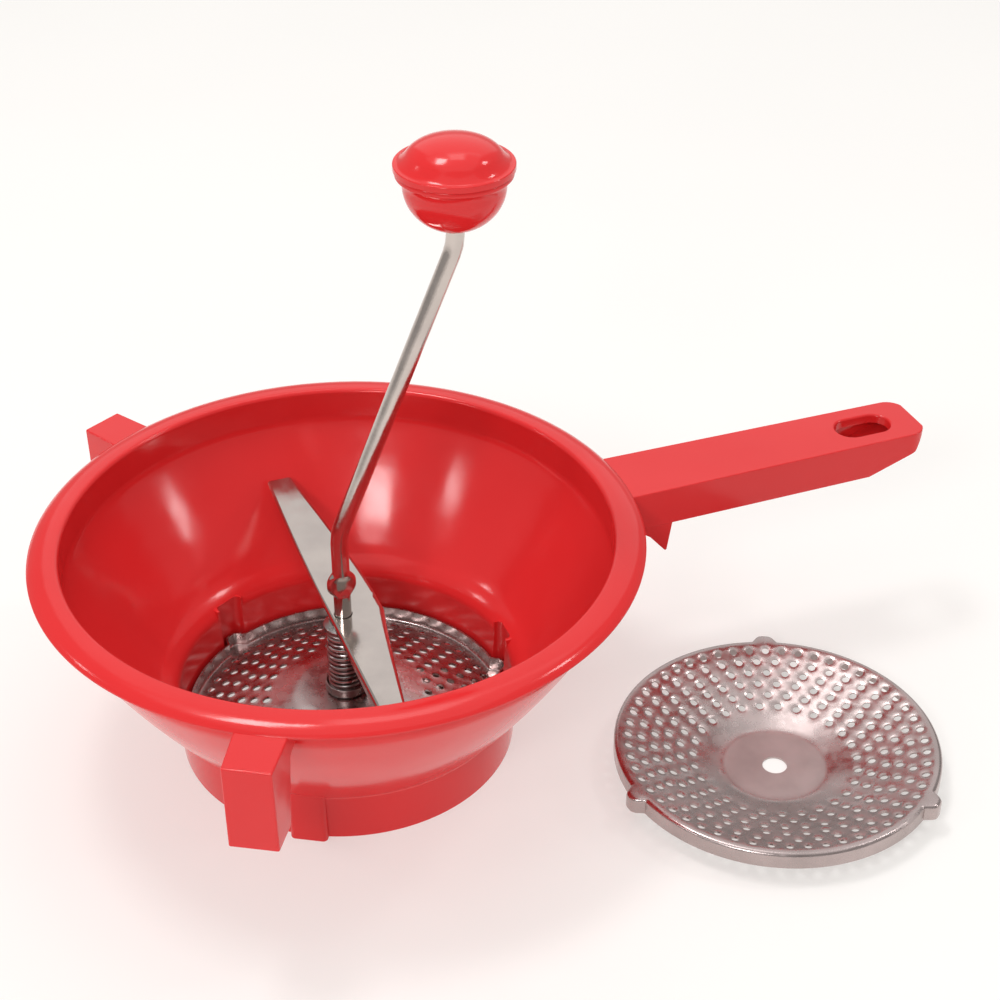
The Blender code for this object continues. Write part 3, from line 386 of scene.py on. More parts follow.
def combine(target, others, operation):
    """Adds the other solids to the target or takes them away, and removes them."""
    group = bpy.data.collections.new(operation)
    for other in others:
        group.objects.link(other)
    modifier = target.modifiers.new(operation, "BOOLEAN")
    modifier.operation = operation
    modifier.operand_type = "COLLECTION"
    modifier.collection = group
    modifier.solver = "EXACT"
    bake(target)
    for other in others:
        bpy.data.objects.remove(other, do_unlink=True)
    bpy.data.collections.remove(group)


def filleted(corners, closed=True):
    """An outline from corner points (x, y, radius), each corner rounded by an arc of its radius."""
    outline = []
    for index, (x, y, radius) in enumerate(corners):
        here = Vector((x, y))
        if radius == 0.0 or (not closed and index in (0, len(corners) - 1)):
            outline.append((x, y))
            continue
        back = Vector(corners[index - 1][:2]) - here
        ahead = Vector(corners[(index + 1) % len(corners)][:2]) - here
        half = 0.5 * back.angle(ahead)
        reach = min(radius / math.tan(half), CORNER_SHARE * back.length, CORNER_SHARE * ahead.length)
        radius = reach * math.tan(half)
        centre = here + (back.normalized() + ahead.normalized()).normalized() * (radius / math.sin(half))
        spoke = here + back.normalized() * reach - centre
        last = here + ahead.normalized() * reach - centre
        sweep = math.atan2(spoke.cross(last), spoke.dot(last))
        steps = max(2, math.ceil(abs(sweep) / ARC_STEP))
        for step in range(steps + 1):
            turn = Matrix.Rotation(sweep * step / steps, 2)
            outline.append(tuple(centre + turn @ spoke))
    return outline


def arc(centre, radius, first, last, steps, stretch=1.0):
    """Points of an arc from the first angle to the last, stretched in its second direction."""
    points = []
    for step in range(steps + 1):
        angle = first + (last - first) * step / steps
        rise = stretch * radius * math.sin(angle)
        points.append((centre[0] + radius * math.cos(angle), centre[1] + rise))
    return points


def bend(start, corner, end, steps):
    """Points of the smooth curve that leaves the start towards the corner and comes to the end from it."""
    points = []
    for step in range(steps + 1):
        t = step / steps
        shares = ((1.0 - t) ** 2, 2.0 * t * (1.0 - t), t ** 2)
        pairs = list(zip(shares, (start, corner, end)))
        points.append(tuple(sum(share * point[axis] for share, point in pairs) for axis in range(2)))
    return points


def spaced(first, last, steps):
    """Points at even steps from the first one, which is left out, to the last."""
    points = []
    for step in range(1, steps + 1):
        share = step / steps
        points.append(tuple(start + (end - start) * share for start, end in zip(first, last)))
    return points


def bridge(edit, here, there, closed=True):
    """Faces between two rows of vertices that lie side by side; closed rows run round."""
    count = len(here)
    for index in range(count if closed else count - 1):
        after = (index + 1) % count
        edit.faces.new((here[index], here[after], there[after], there[index]))


def loft(name, rings):
    """A solid through closed rings of points, with a face at each end."""
    edit = bmesh.new()
    rows = [[edit.verts.new(point) for point in ring] for ring in rings]
    edit.faces.new(rows[0])
    edit.faces.new(rows[-1])
    for lower, upper in zip(rows, rows[1:]):
        bridge(edit, lower, upper)
    return object_from_bmesh(name, edit)


def turned(name, profile, steps=TURNED_STEPS, closed=True):
    """A profile of (radius, height) points turned about Z."""
    edit = bmesh.new()
    columns = []
    for step in range(steps):
        angle = FULL_TURN * step / steps
        columns.append([edit.verts.new((r * math.cos(angle), r * math.sin(angle), z)) for r, z in profile])
    for here, there in zip(columns, columns[1:] + columns[:1]):
        bridge(edit, here, there, closed)
    bmesh.ops.remove_doubles(edit, verts=edit.verts, dist=MERGE)
    return object_from_bmesh(name, edit)


def plate(name, outline, low, high, upright=False):
    """An outline made solid from low to high: along Z, or along Y where it stands upright in X and Z."""
    rings = []
    for level in (low, high):
        rings.append([(x, level, y) if upright else (x, y, level) for x, y in outline])
    return loft(name, rings)


def cut_away(obj, place, normal):
    """Cuts off what lies beyond the plane, on the side of its normal, and closes the cut."""
    edit = bmesh.new()
    edit.from_mesh(obj.data)
    everything = edit.verts[:] + edit.edges[:] + edit.faces[:]
    cut = bmesh.ops.bisect_plane(
        edit, geom=everything, dist=MERGE, plane_co=place, plane_no=normal, clear_outer=True,
    )
    edges = [item for item in cut["geom_cut"] if isinstance(item, bmesh.types.BMEdge)]
    bmesh.ops.holes_fill(edit, edges=edges)
    bmesh.ops.recalc_face_normals(edit, faces=edit.faces)
    edit.to_mesh(obj.data)
    edit.free()


def turn_mesh(obj, angle):
    obj.data.transform(Matrix.Rotation(angle, 4, "Z"))
    return obj


def smooth(obj, angle=SMOOTH_ANGLE, weighted=True):
    """Smooth shading that keeps edges sharper than the angle, with normals that follow the large faces."""
    obj.data.shade_smooth()
    obj.data.set_sharp_from_angle(angle=angle)
    if weighted:
        modifier = obj.modifiers.new("normals", "WEIGHTED_NORMAL")
        modifier.keep_sharp = True
        modifier.weight = NORMAL_WEIGHT
    return obj


def thickened(obj, thickness):
    """A sheet made solid, half of its thickness on each side."""
    modifier = obj.modifiers.new("sheet", "SOLIDIFY")
    modifier.thickness = thickness
    modifier.offset = 0.0
    modifier.use_even_offset = True
    return bake(obj)


def dress(obj, finish, body, node, origin=AXIS):
    """Gives a piece its material and place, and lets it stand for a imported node."""
    obj.data.transform(Matrix.Translation(origin))
    obj.data.materials.clear()
    obj.data.materials.append(finish)
    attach(obj, body)
    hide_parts(node)


# Materials

def new_material(name, colour, roughness, metallic):
    material = bpy.data.materials.new(name)
    material.use_nodes = True
    shader = material.node_tree.nodes["Principled BSDF"]
    shader.inputs["Base Color"].default_value = (*colour, 1.0)
    shader.inputs["Roughness"].default_value = roughness
    shader.inputs["Metallic"].default_value = metallic
    return material, material.node_tree, shader


def noise(tree, scale, detail, stretch=(1.0, 1.0, 1.0)):
    """Noise in the object's own coordinates, at this many features for each metre."""
    place = tree.nodes.new("ShaderNodeTexCoord")
    mapping = tree.nodes.new("ShaderNodeMapping")
    mapping.inputs["Scale"].default_value = stretch
    texture = tree.nodes.new("ShaderNodeTexNoise")
    texture.inputs["Scale"].default_value = scale
    texture.inputs["Detail"].default_value = detail
    tree.links.new(place.outputs["Object"], mapping.inputs["Vector"])
    tree.links.new(mapping.outputs["Vector"], texture.inputs["Vector"])
    return texture.outputs["Fac"]


def ramp(tree, source, low, high):
    """Maps a value to a range of colours, or of numbers."""
    node = tree.nodes.new("ShaderNodeValToRGB")
    for element, place, value in zip(node.color_ramp.elements, RAMP_PLACES, (low, high)):
        element.position = place
        element.color = (*value, 1.0) if isinstance(value, tuple) else (value, value, value, 1.0)
    tree.links.new(source, node.inputs["Fac"])
    return node.outputs["Color"]


def bump(tree, shader, layers):
    """Bumps laid over each other, each of noise: its scale, detail, strength, depth and any stretch."""
    before = None
    for scale, detail, strength, depth, *stretch in layers:
        node = tree.nodes.new("ShaderNodeBump")
        node.inputs["Strength"].default_value = strength
        node.inputs["Distance"].default_value = depth
        tree.links.new(noise(tree, scale, detail, *stretch), node.inputs["Height"])
        if before:
            tree.links.new(before, node.inputs["Normal"])
        before = node.outputs["Normal"]
    tree.links.new(before, shader.inputs["Normal"])


def red_plastic():
    """Glossy moulded plastic: faint flow shading, slow waves in the gloss and a fine skin."""
    material, tree, shader = new_material("red_plastic", RED, RED_ROUGHNESS, 0.0)
    shade = ramp(tree, noise(tree, *RED_FLOW), *RED_RANGE)
    tree.links.new(shade, shader.inputs["Base Color"])
    gloss = ramp(tree, noise(tree, *RED_GLOSS), *RED_ROUGHNESS_RANGE)
    tree.links.new(gloss, shader.inputs["Roughness"])
    shader.inputs["IOR"].default_value = RED_REFRACTION
    bump(tree, shader, [RED_WAVES, RED_SKIN])
    return material


def satin_below(tree, gloss, height):
    """Roughness raised to a satin below the height, on the flat that the spare disc lies on."""
    place = tree.nodes.new("ShaderNodeTexCoord")
    split = tree.nodes.new("ShaderNodeSeparateXYZ")
    tree.links.new(place.outputs["Object"], split.inputs["Vector"])
    level = tree.nodes.new("ShaderNodeMapRange")
    level.inputs["From Min"].default_value = height
    level.inputs["From Max"].default_value = SATIN_FADE_SHARE * height
    level.inputs["To Min"].default_value = SATIN_ROUGHNESS
    level.inputs["To Max"].default_value = 0.0
    tree.links.new(split.outputs["Z"], level.inputs["Value"])
    duller = tree.nodes.new("ShaderNodeMath")
    duller.operation = "MAXIMUM"
    tree.links.new(gloss, duller.inputs[0])
    tree.links.new(level.outputs["Result"], duller.inputs[1])
    return duller.outputs["Value"]


def steel(name, low, high, roughness, grain, stretch, satin_height=0.0):
    """Steel with fine drawn lines and broad dents, duller below the height if one is given."""
    material, tree, shader = new_material(name, high, roughness, 1.0)
    tint = ramp(tree, noise(tree, *STEEL_TINT), low, high)
    tree.links.new(tint, shader.inputs["Base Color"])
    gloss = ramp(tree, noise(tree, *STEEL_GLOSS), *(share * roughness for share in STEEL_GLOSS_SHARES))
    if satin_height:
        gloss = satin_below(tree, gloss, satin_height)
    tree.links.new(gloss, shader.inputs["Roughness"])
    bump(tree, shader, [STEEL_DENTS, (grain, GRAIN_DETAIL, GRAIN_STRENGTH, GRAIN_DEPTH, stretch)])
    return material


# Bowl

def skirt_radius(height):
    """Outer radius of the skirt, which widens a little upwards."""
    return SKIRT_FOOT_RADIUS + SKIRT_DRAFT * height


def funnel_side(low, high):
    """Points of one side of the funnel's wall from its lower end up, bulging out between its ends."""
    along = Vector(high) - Vector(low)
    out = Vector((along.y, -along.x)).normalized() * (2.0 * FUNNEL_BULGE)
    middle = Vector(low) + 0.5 * along + out
    return bend(low, middle, high, FUNNEL_STEPS)


def knee_height(foot_radius, top_radius):
    """Height at which a side of the funnel with this radius at its foot reaches its upright top part."""
    return FUNNEL_FOOT_HEIGHT + (top_radius - foot_radius) / FUNNEL_SLOPE


def bowl_profile():
    """The bowl's wall in section: a crowned rim, the funnel, and the skirt with the ledge for the disc."""
    crown = RIM_HEIGHT + RIM_CROWN
    edge_top = (RIM_RADIUS, crown - RIM_FALL)
    edge_foot = edge_top[1] - RIM_EDGE
    top_start = (INNER_TOP_RADIUS + RIM_INNER_CORNER, crown)
    rim = bend(top_start, (RIM_RADIUS - RIM_SHOULDER, crown - 0.5 * SMALL_FILLET), edge_top, RIM_STEPS)[1:]
    outer_knee = (OUTER_TOP_RADIUS, knee_height(FUNNEL_FOOT_RADIUS, OUTER_TOP_RADIUS))
    inner_knee = (INNER_TOP_RADIUS, knee_height(INNER_FOOT_RADIUS, INNER_TOP_RADIUS))
    skirt_top = FUNNEL_FOOT_HEIGHT - (FUNNEL_FOOT_RADIUS - SKIRT_TOP_RADIUS) / FUNNEL_SLOPE
    outer = funnel_side((SKIRT_TOP_RADIUS, skirt_top), outer_knee)
    corner = (SKIRT_TOP_RADIUS - BOWL_WALL, FUNNEL_FOOT_HEIGHT - 0.5 * BOWL_WALL)
    blend_low = (corner[0], corner[1] - FUNNEL_BLEND)
    blend_high = (INNER_FOOT_RADIUS + FUNNEL_SLOPE * FUNNEL_BLEND, FUNNEL_FOOT_HEIGHT + FUNNEL_BLEND)
    inner = funnel_side(blend_high, inner_knee)
    inside = SKIRT_FOOT_RADIUS - BOWL_WALL
    ledge_foot = LEDGE_TOP - LEDGE_THICKNESS
    corners = [(*point, 0.0) for point in rim]
    corners += [
        (RIM_RADIUS, edge_foot, RIM_EDGE_SHARE * RIM_EDGE),
        (OUTER_TOP_RADIUS, edge_foot, SMALL_FILLET),
        (*outer[-1], FUNNEL_KNEE_RADIUS),
    ]
    corners += [(*point, 0.0) for point in reversed(outer[1:-1])]
    corners += [
        (*outer[0], BOWL_WALL),
        (SKIRT_FOOT_RADIUS, 0.0, SMALL_FILLET),
        (inside, 0.0, SMALL_FILLET),
        (skirt_radius(ledge_foot) - BOWL_WALL, ledge_foot, 0.0),
        (LEDGE_RADIUS, ledge_foot, 0.5 * SMALL_FILLET),
        (LEDGE_RADIUS, LEDGE_TOP, 0.5 * SMALL_FILLET),
        (skirt_radius(LEDGE_TOP) - BOWL_WALL, LEDGE_TOP, 0.0),
    ]
    corners += [(*point, 0.0) for point in bend(blend_low, corner, blend_high, BLEND_STEPS)]
    corners += [(*point, 0.0) for point in inner[1:-1]]
    corners += [(*inner[-1], FUNNEL_KNEE_RADIUS), (INNER_TOP_RADIUS, crown, RIM_INNER_CORNER)]
    return filleted(corners)


def handle_body(name, inset, root):
    """The handle's block from the root out, set in on its top, sides and end; the hollow is open below."""
    end = HANDLE_END - inset
    half_root = 0.5 * HANDLE_ROOT_WIDTH - inset
    half_end = 0.5 * HANDLE_END_WIDTH - inset
    outline = filleted([
        (root, -half_root, 0.0),
        (end, -half_end, HANDLE_CORNER - inset),
        (end, half_end, HANDLE_CORNER - inset),
        (root, half_root, 0.0),
    ])
    foot = HANDLE_FOOT - (OVERRUN if inset else 0.0)
    block = plate(name, outline, foot, HANDLE_TOP - inset)
    knee = (HANDLE_END - HANDLE_KNEE, HANDLE_FOOT)
    chin = (HANDLE_END - HANDLE_CHIN, RIM_HEIGHT - HANDLE_CHIN_DEPTH)
    tip = (HANDLE_END, RIM_HEIGHT)
    for (x1, z1), (x2, z2) in ((knee, chin), (chin, tip)):
        normal = Vector((z2 - z1, 0.0, x1 - x2)).normalized()
        cut_away(block, Vector((x1, 0.0, z1)) - inset * normal, normal)
    return block


def hanging_hole(name, margin, flare, low):
    """The slot near the handle's end, with a flared mouth, or the boss that a margin makes round it."""
    far = (HANDLE_END - HANG_HOLE_INSET - 0.5 * HANG_HOLE_WIDTH, 0.0)
    near = (HANDLE_END - HANG_HOLE_INSET - HANG_HOLE_LENGTH + 0.5 * HANG_HOLE_WIDTH, 0.0)
    quarter = 0.25 * FULL_TURN
    levels = [(low, 0.0), (HANDLE_TOP - flare, 0.0)]
    if flare:
        for step in range(1, FLARE_STEPS):
            turn = quarter * step / FLARE_STEPS
            levels.append((HANDLE_TOP - flare + flare * math.sin(turn), flare * (1.0 - math.cos(turn))))
        levels.append((HANDLE_TOP + MERGE, flare))
    levels.append((HANDLE_TOP + OVERRUN, flare))
    rings = []
    for height, wider in levels:
        radius = 0.5 * HANG_HOLE_WIDTH + margin + wider
        outline = arc(far, radius, -quarter, quarter, HANG_HOLE_STEPS)
        outline += arc(near, radius, quarter, 3.0 * quarter, HANG_HOLE_STEPS)
        rings.append([(x, y, height) for x, y in outline])
    return loft(name, rings)


def handle_half_width(x):
    """Half the handle's width at this distance from the mill's axis."""
    share = (x - RIM_RADIUS) / (HANDLE_END - RIM_RADIUS)
    return 0.5 * (HANDLE_ROOT_WIDTH + share * (HANDLE_END_WIDTH - HANDLE_ROOT_WIDTH))


def hook_tooth(side):
    """The handle's side wall runs down here to a point that hooks over the pot."""
    tip = (TOOTH_OUTER - TOOTH_TIP_INSET, HANDLE_FOOT - TOOTH_LENGTH)
    notch = (TOOTH_OUTER - TOOTH_WIDTH, tip[1] + TOOTH_NOTCH_RISE)
    root = HANDLE_FOOT + HANDLE_WALL
    outline = filleted([
        (TOOTH_OUTER, root, 0.0),
        (*tip, SMALL_FILLET),
        (*notch, SMALL_FILLET),
        (RIM_RADIUS, HANDLE_FOOT, 0.0),
        (RIM_RADIUS, root, 0.0),
    ])
    outer = side * (handle_half_width(TOOTH_OUTER) - GAP)
    inner = side * (handle_half_width(TOOTH_OUTER) - HANDLE_WALL)
    tooth = plate("tooth", outline, min(outer, inner), max(outer, inner), upright=True)
    return bevelled(tooth, 0.5 * GAP, segments=2)


def lug_body(name, inset):
    """A lug pointing along +X, an upright outline narrowed towards its outer face; the hollow is set in."""
    foot = RIM_HEIGHT - LUG_DEPTH
    root = RIM_RADIUS + inset if inset else 0.5 * (INNER_TOP_RADIUS + OUTER_TOP_RADIUS)
    lip_foot = RIM_HEIGHT - LUG_LIP_DEPTH
    top = HANDLE_TOP - inset
    low = foot - (OVERRUN if inset else 0.0)
    outline = [
        (root, top),
        (LUG_OUTER - inset, top),
        (LUG_OUTER - LUG_DRAFT - inset, low),
        (LUG_OUTER - LUG_DRAFT - LUG_CHEEK + inset, low),
        (RIM_RADIUS - 0.5 * BOWL_WALL + inset, lip_foot - GAP),
        (root, lip_foot),
    ]
    half = 0.5 * LUG_ROOT_WIDTH - inset
    block = plate(name, outline, -half, half, upright=True)
    narrow = (0.5 * LUG_TIP_WIDTH - inset) / half
    for vertex in block.data.vertices:
        share = (vertex.co.x - RIM_RADIUS) / (LUG_OUTER - RIM_RADIUS)
        vertex.co.y *= 1.0 + min(1.0, max(0.0, share)) * (narrow - 1.0)
    return block


def pocket_block(name, half_width, inner, outer, low, high):
    """A block along +X with rounded outer corners: a pocket for an ear, or the swelling round one."""
    corner = 0.5 * half_width
    outline = filleted([
        (inner, -half_width, 0.0),
        (outer, -half_width, corner),
        (outer, half_width, corner),
        (inner, half_width, 0.0),
    ])
    return plate(name, outline, low, high)


def make_bowl(finish):
    """The bowl with its handle, hook teeth, lugs and pockets, as one moulding."""
    bowl = turned("bowl_moulding", bowl_profile(), BOWL_STEPS)
    wall_middle = SKIRT_FOOT_RADIUS - 0.5 * BOWL_WALL
    root = 0.5 * (INNER_TOP_RADIUS + OUTER_TOP_RADIUS)
    added = [bevelled(handle_body("handle", 0.0, root), HANDLE_BEVEL, segments=4)]
    added += [hook_tooth(side) for side in (-1, 1)]
    removed = []
    for turn in LUG_TURNS:
        added.append(turn_mesh(bevelled(lug_body("lug", 0.0), LUG_BEVEL), turn))
        removed.append(turn_mesh(lug_body("lug_hollow", LUG_WALL), turn))
    for index in range(EAR_COUNT):
        turn = index * FULL_TURN / EAR_COUNT
        swelling = pocket_block("swelling", 0.5 * POCKET_WIDTH + POCKET_WALL, wall_middle,
                                POCKET_RADIUS + POCKET_WALL, 0.0, FUNNEL_FOOT_HEIGHT)
        added.append(turn_mesh(bevelled(swelling, SMALL_FILLET), turn))
        pocket = pocket_block("pocket", 0.5 * POCKET_WIDTH, LEDGE_RADIUS + OVERRUN, POCKET_RADIUS,
                              LEDGE_TOP, FUNNEL_FOOT_HEIGHT + OVERRUN)
        removed.append(turn_mesh(pocket, turn))
    hollow = handle_body("handle_hollow", HANDLE_WALL, RIM_RADIUS + HANDLE_WALL)
    combine(hollow, [hanging_hole("boss", HANDLE_WALL, 0.0, HANDLE_TOP - HANG_BOSS_DEPTH)], "DIFFERENCE")
    removed += [hollow, hanging_hole("hole", 0.0, HANG_HOLE_FLARE, HANDLE_FOOT - 2.0 * OVERRUN)]
    combine(bowl, added, "UNION")
    combine(bowl, removed, "DIFFERENCE")
    dress(smooth(bowl), finish, "mill", "bowl")


# Sieve discs

def ear_swell(angle):
    """How far the flange is pressed out at this angle: three ears, one of them at angle zero."""
    spacing = FULL_TURN / EAR_COUNT
    away = abs((angle + 0.5 * spacing) % spacing - 0.5 * spacing) * DISC_RADIUS
    if away >= 0.5 * EAR_WIDTH:
        return 0.0
    return EAR_REACH * math.sin(0.5 * math.pi * math.cos(math.pi * away / EAR_WIDTH)) ** EAR_POINTEDNESS


def disc_height(radius):
    """Height of the middle of the sheet above the seat plane, with the flat's edge rounded."""
    slope = DISC_RISE / (DISC_CONE_RADIUS - DISC_FLAT_RADIUS)
    past = radius - DISC_FLAT_RADIUS
    if past > DISC_FLAT_ROUNDING:
        drop = slope * past
    elif past > -DISC_FLAT_ROUNDING:
        drop = slope * (past + DISC_FLAT_ROUNDING) ** 2 / (4.0 * DISC_FLAT_ROUNDING)
    else:
        drop = 0.0
    return 0.5 * DISC_SHEET + DISC_RISE - drop


def ring(centre, radius, count, twist=0.0):
    """Points evenly round a centre; the twist turns them by a share of their spacing."""
    points = []
    for index in range(count):
        angle = FULL_TURN * (index + twist) / count
        points.append(Vector((centre[0] + radius * math.cos(angle), centre[1] + radius * math.sin(angle))))
    return points


def hole_centres():
    """Places of the perforations: staggered rings, the outermost one closer set."""
    places = []
    for row in range(HOLE_ROWS):
        radius = DISC_CONE_RADIUS - HOLE_INSET_SHARE * HOLE_RADIUS - row * HOLE_ROW_PITCH
        count = HOLE_OUTER_COUNT if row == 0 else round(FULL_TURN * radius / HOLE_PITCH)
        places += ring((0.0, 0.0), radius, count, 0.5 * (row % 2))
    return places


def ring_edges(first, count):
    """Edges round a closed ring of points, by the numbers of the points."""
    return [(first + index, first + (index + 1) % count) for index in range(count)]


def disc_plan(centres, nearest):
    """The dome's sheet seen from above: points, and triangles that keep to the edges of the holes."""
    points = []
    edges = []
    for centre in centres:
        for share in BURR_SHARES:
            if share == 0.0:
                edges += ring_edges(len(points), HOLE_SIDES)
            points += ring(centre, HOLE_RADIUS + share * BURR_REACH, HOLE_SIDES, share)
    for radius, count in ((DISC_HOLE_RADIUS, DISC_HOLE_SIDES), (DISC_CONE_RADIUS, DISC_COLUMNS)):
        edges += ring_edges(len(points), count)
        points += ring((0.0, 0.0), radius, count)
    clear = HOLE_RADIUS + BURR_REACH + LATTICE_MARGIN_SHARE * LATTICE_PITCH
    rows = round((DISC_CONE_RADIUS - DISC_HOLE_RADIUS) / LATTICE_PITCH)
    for row in range(1, rows):
        radius = DISC_HOLE_RADIUS + row * (DISC_CONE_RADIUS - DISC_HOLE_RADIUS) / rows
        lattice = ring((0.0, 0.0), radius, round(FULL_TURN * radius / LATTICE_PITCH), 0.5 * (row % 2))
        points += [place for place in lattice if nearest.find(place.to_3d())[2] > clear]
    places, _, faces, _, _, _ = delaunay_2d_cdt(points, edges, [], 0, MERGE)
    return places, faces


def add_dome(edit):
    """The dome with its round holes, each with a raised burr."""
    centres = hole_centres()
    nearest = KDTree(len(centres))
    for index, centre in enumerate(centres):
        nearest.insert(centre.to_3d(), index)
    nearest.balance()
    places, faces = disc_plan(centres, nearest)
    vertices = []
    for place in places:
        away = nearest.find(place.to_3d())[2] - HOLE_RADIUS
        share = min(1.0, max(0.0, 1.0 - away / BURR_REACH))
        height = disc_height(place.length) + BURR_HEIGHT * share * share * (3.0 - 2.0 * share)
        vertices.append(edit.verts.new((place.x, place.y, height)))
    for face in faces:
        middle = sum((places[index] for index in face), Vector((0.0, 0.0))) / len(face)
        outside_holes = nearest.find(middle.to_3d())[2] > HOLE_INSIDE_SHARE * HOLE_RADIUS
        if outside_holes and middle.length > DISC_HOLE_RADIUS:
            edit.faces.new([vertices[index] for index in face])


def add_flange(edit):
    """The flat ring and the upturned flange round the dome, pressed out at the ears."""
    half = 0.5 * DISC_SHEET
    flange = DISC_RADIUS - half
    section = filleted([
        (DISC_CONE_RADIUS, half, 0.0),
        (flange, half, 1.5 * DISC_SHEET),
        (flange, DISC_FLANGE_HEIGHT, 0.0),
    ], closed=False)
    columns = []
    for index in range(DISC_COLUMNS):
        angle = FULL_TURN * index / DISC_COLUMNS
        column = []
        for radius, height in section:
            if radius > DISC_RADIUS - 2.0 * DISC_SHEET:
                radius += ear_swell(angle)
            column.append(edit.verts.new((radius * math.cos(angle), radius * math.sin(angle), height)))
        columns.append(column)
    for here, there in zip(columns, columns[1:] + columns[:1]):
        bridge(edit, here, there, closed=False)


def make_disc(name):
    """The pressed sheet of a disc, dome up with its seat plane at zero."""
    edit = bmesh.new()
    add_dome(edit)
    add_flange(edit)
    bmesh.ops.remove_doubles(edit, verts=edit.verts, dist=MERGE)
    bmesh.ops.delete(edit, geom=[v for v in edit.verts if not v.link_faces], context="VERTS")
    disc = thickened(object_from_bmesh(name, edit), DISC_SHEET)
    return smooth(disc, DISC_SMOOTH_ANGLE, weighted=False)


def disc_surface(radius):
    """Height of the top of the seated disc at this radius from the axis."""
    share = (DISC_CONE_RADIUS - radius) / (DISC_CONE_RADIUS - DISC_FLAT_RADIUS)
    return DISC_SEAT + DISC_SHEET + DISC_RISE * min(1.0, max(0.0, share))


def make_discs(finish):
    """The disc seated in the skirt, and the spare one that lies on the table upside down."""
    seated = make_disc("sieve_sheet")
    spare = add_object("spare_sheet", seated.data.copy())
    seated.data.transform(Matrix.Translation((0.0, 0.0, DISC_SEAT)))
    flipped = Matrix.Rotation(SPARE_TURN, 4, "Z") @ Matrix.Rotation(math.pi, 4, "X")
    lift = Matrix.Translation(SPARE_PLACE + Vector((0.0, 0.0, DISC_RISE + DISC_SHEET)))
    spare.data.transform(lift @ flipped)
    dress(seated, finish, "mill", "sieve_disc")
    dress(spare, finish, "mill", "spare_disc")


# Crank rod and blade

def rod_path():
    """Points of the rod's middle line with its half widths along X and Y."""
    line = filleted([
        (0.0, ROD_EAR_HEIGHT + ROD_EAR_LENGTH, 0.0),
        (0.0, ROD_BEND_HEIGHT, ROD_BEND_RADIUS),
        (ROD_REACH, ROD_TURN_HEIGHT, ROD_BEND_RADIUS),
        (ROD_REACH, ROD_TOP, 0.0),
    ], closed=False)
    head_top = ROD_HEAD_FOOT + ROD_HEAD_HEIGHT
    step = 0.5 * GAP
    path = [
        (0.0, ROD_HEAD_FOOT, ROD_RADIUS - GAP, ROD_RADIUS - GAP),
        (0.0, ROD_HEAD_FOOT + GAP, ROD_RADIUS, ROD_RADIUS),
        (0.0, head_top, ROD_RADIUS, ROD_RADIUS),
        (0.0, head_top + step, ROD_NECK_RADIUS, ROD_NECK_RADIUS),
        (0.0, ROD_NECK_TOP, ROD_NECK_RADIUS, ROD_NECK_RADIUS),
        (0.0, ROD_NECK_TOP + step, ROD_RADIUS, ROD_RADIUS),
    ]
    for index in range(ROD_EAR_STEPS + 1):
        share = -1.0 + index / (0.5 * ROD_EAR_STEPS)
        height = ROD_EAR_HEIGHT + 0.5 * ROD_EAR_LENGTH * ROD_EAR_SPREAD_SHARE * share
        swell = max(0.0, 1.0 - abs(share) ** ROD_EAR_FULLNESS) ** ROD_EAR_TAPER
        wide = ROD_RADIUS + (0.5 * ROD_EAR_WIDTH - ROD_RADIUS) * swell
        thin = ROD_RADIUS + (0.5 * ROD_EAR_THICKNESS - ROD_RADIUS) * swell
        path.append((0.0, height, wide, thin))
    path += [(x, z, ROD_RADIUS, ROD_RADIUS) for x, z in line]
    return path


def make_rod(finish):
    """The bent rod: a round section carried along its path, pinched into two ears above the blade."""
    path = rod_path()
    rings = []
    for index, (x, z, wide, thin) in enumerate(path):
        before = path[max(0, index - 1)]
        after = path[min(len(path) - 1, index + 1)]
        along = Vector((after[0] - before[0], 0.0, after[1] - before[1])).normalized()
        side = Vector((along.z, 0.0, -along.x))
        section = []
        for step in range(ROD_SIDES):
            angle = FULL_TURN * step / ROD_SIDES
            across = side * (wide * math.cos(angle))
            section.append(Vector((x, 0.0, z)) + across + Vector((0.0, thin * math.sin(angle), 0.0)))
        rings.append(section)
    dress(smooth(loft("crank", rings)), finish, "crank", "crank_rod")


def trailing_edge(s):
    """Lateral place of the trailing edge at the distance s along the blade, far side positive."""
    if s >= 0.0:
        narrowing = BLADE_BROAD + BLADE_LEAD - BLADE_TIP_WIDTH
        return BLADE_BROAD - narrowing * (s / BLADE_FAR_REACH) ** BLADE_FAR_CURVE
    return BLADE_BROAD - (BLADE_BROAD - BLADE_NEAR_TRAIL) * (-s / BLADE_NEAR_REACH) ** BLADE_NEAR_CURVE


def lip_depth(s):
    """Depth of the lip folded down along the leading edge: it grows from LIP_START to the near side."""
    share = (LIP_START - s) / (LIP_START + LIP_FULL_SHARE * BLADE_NEAR_REACH)
    return BLADE_EDGE_DROP + (BLADE_LIP - BLADE_EDGE_DROP) * min(1.0, max(0.0, share))


def wing_foot(radius):
    """Least height of the wing's lower edge at this radius, clear of disc and bowl at full press."""
    clear = disc_surface(radius) + WING_CLEARANCE
    reach = radius + WALL_CLEARANCE
    if reach > SKIRT_TOP_RADIUS - BOWL_WALL:
        wall = FUNNEL_FOOT_HEIGHT + max(0.0, reach - INNER_FOOT_RADIUS) / FUNNEL_SLOPE
        clear = max(clear, wall + GAP)
    return clear + PRESS_TRAVEL


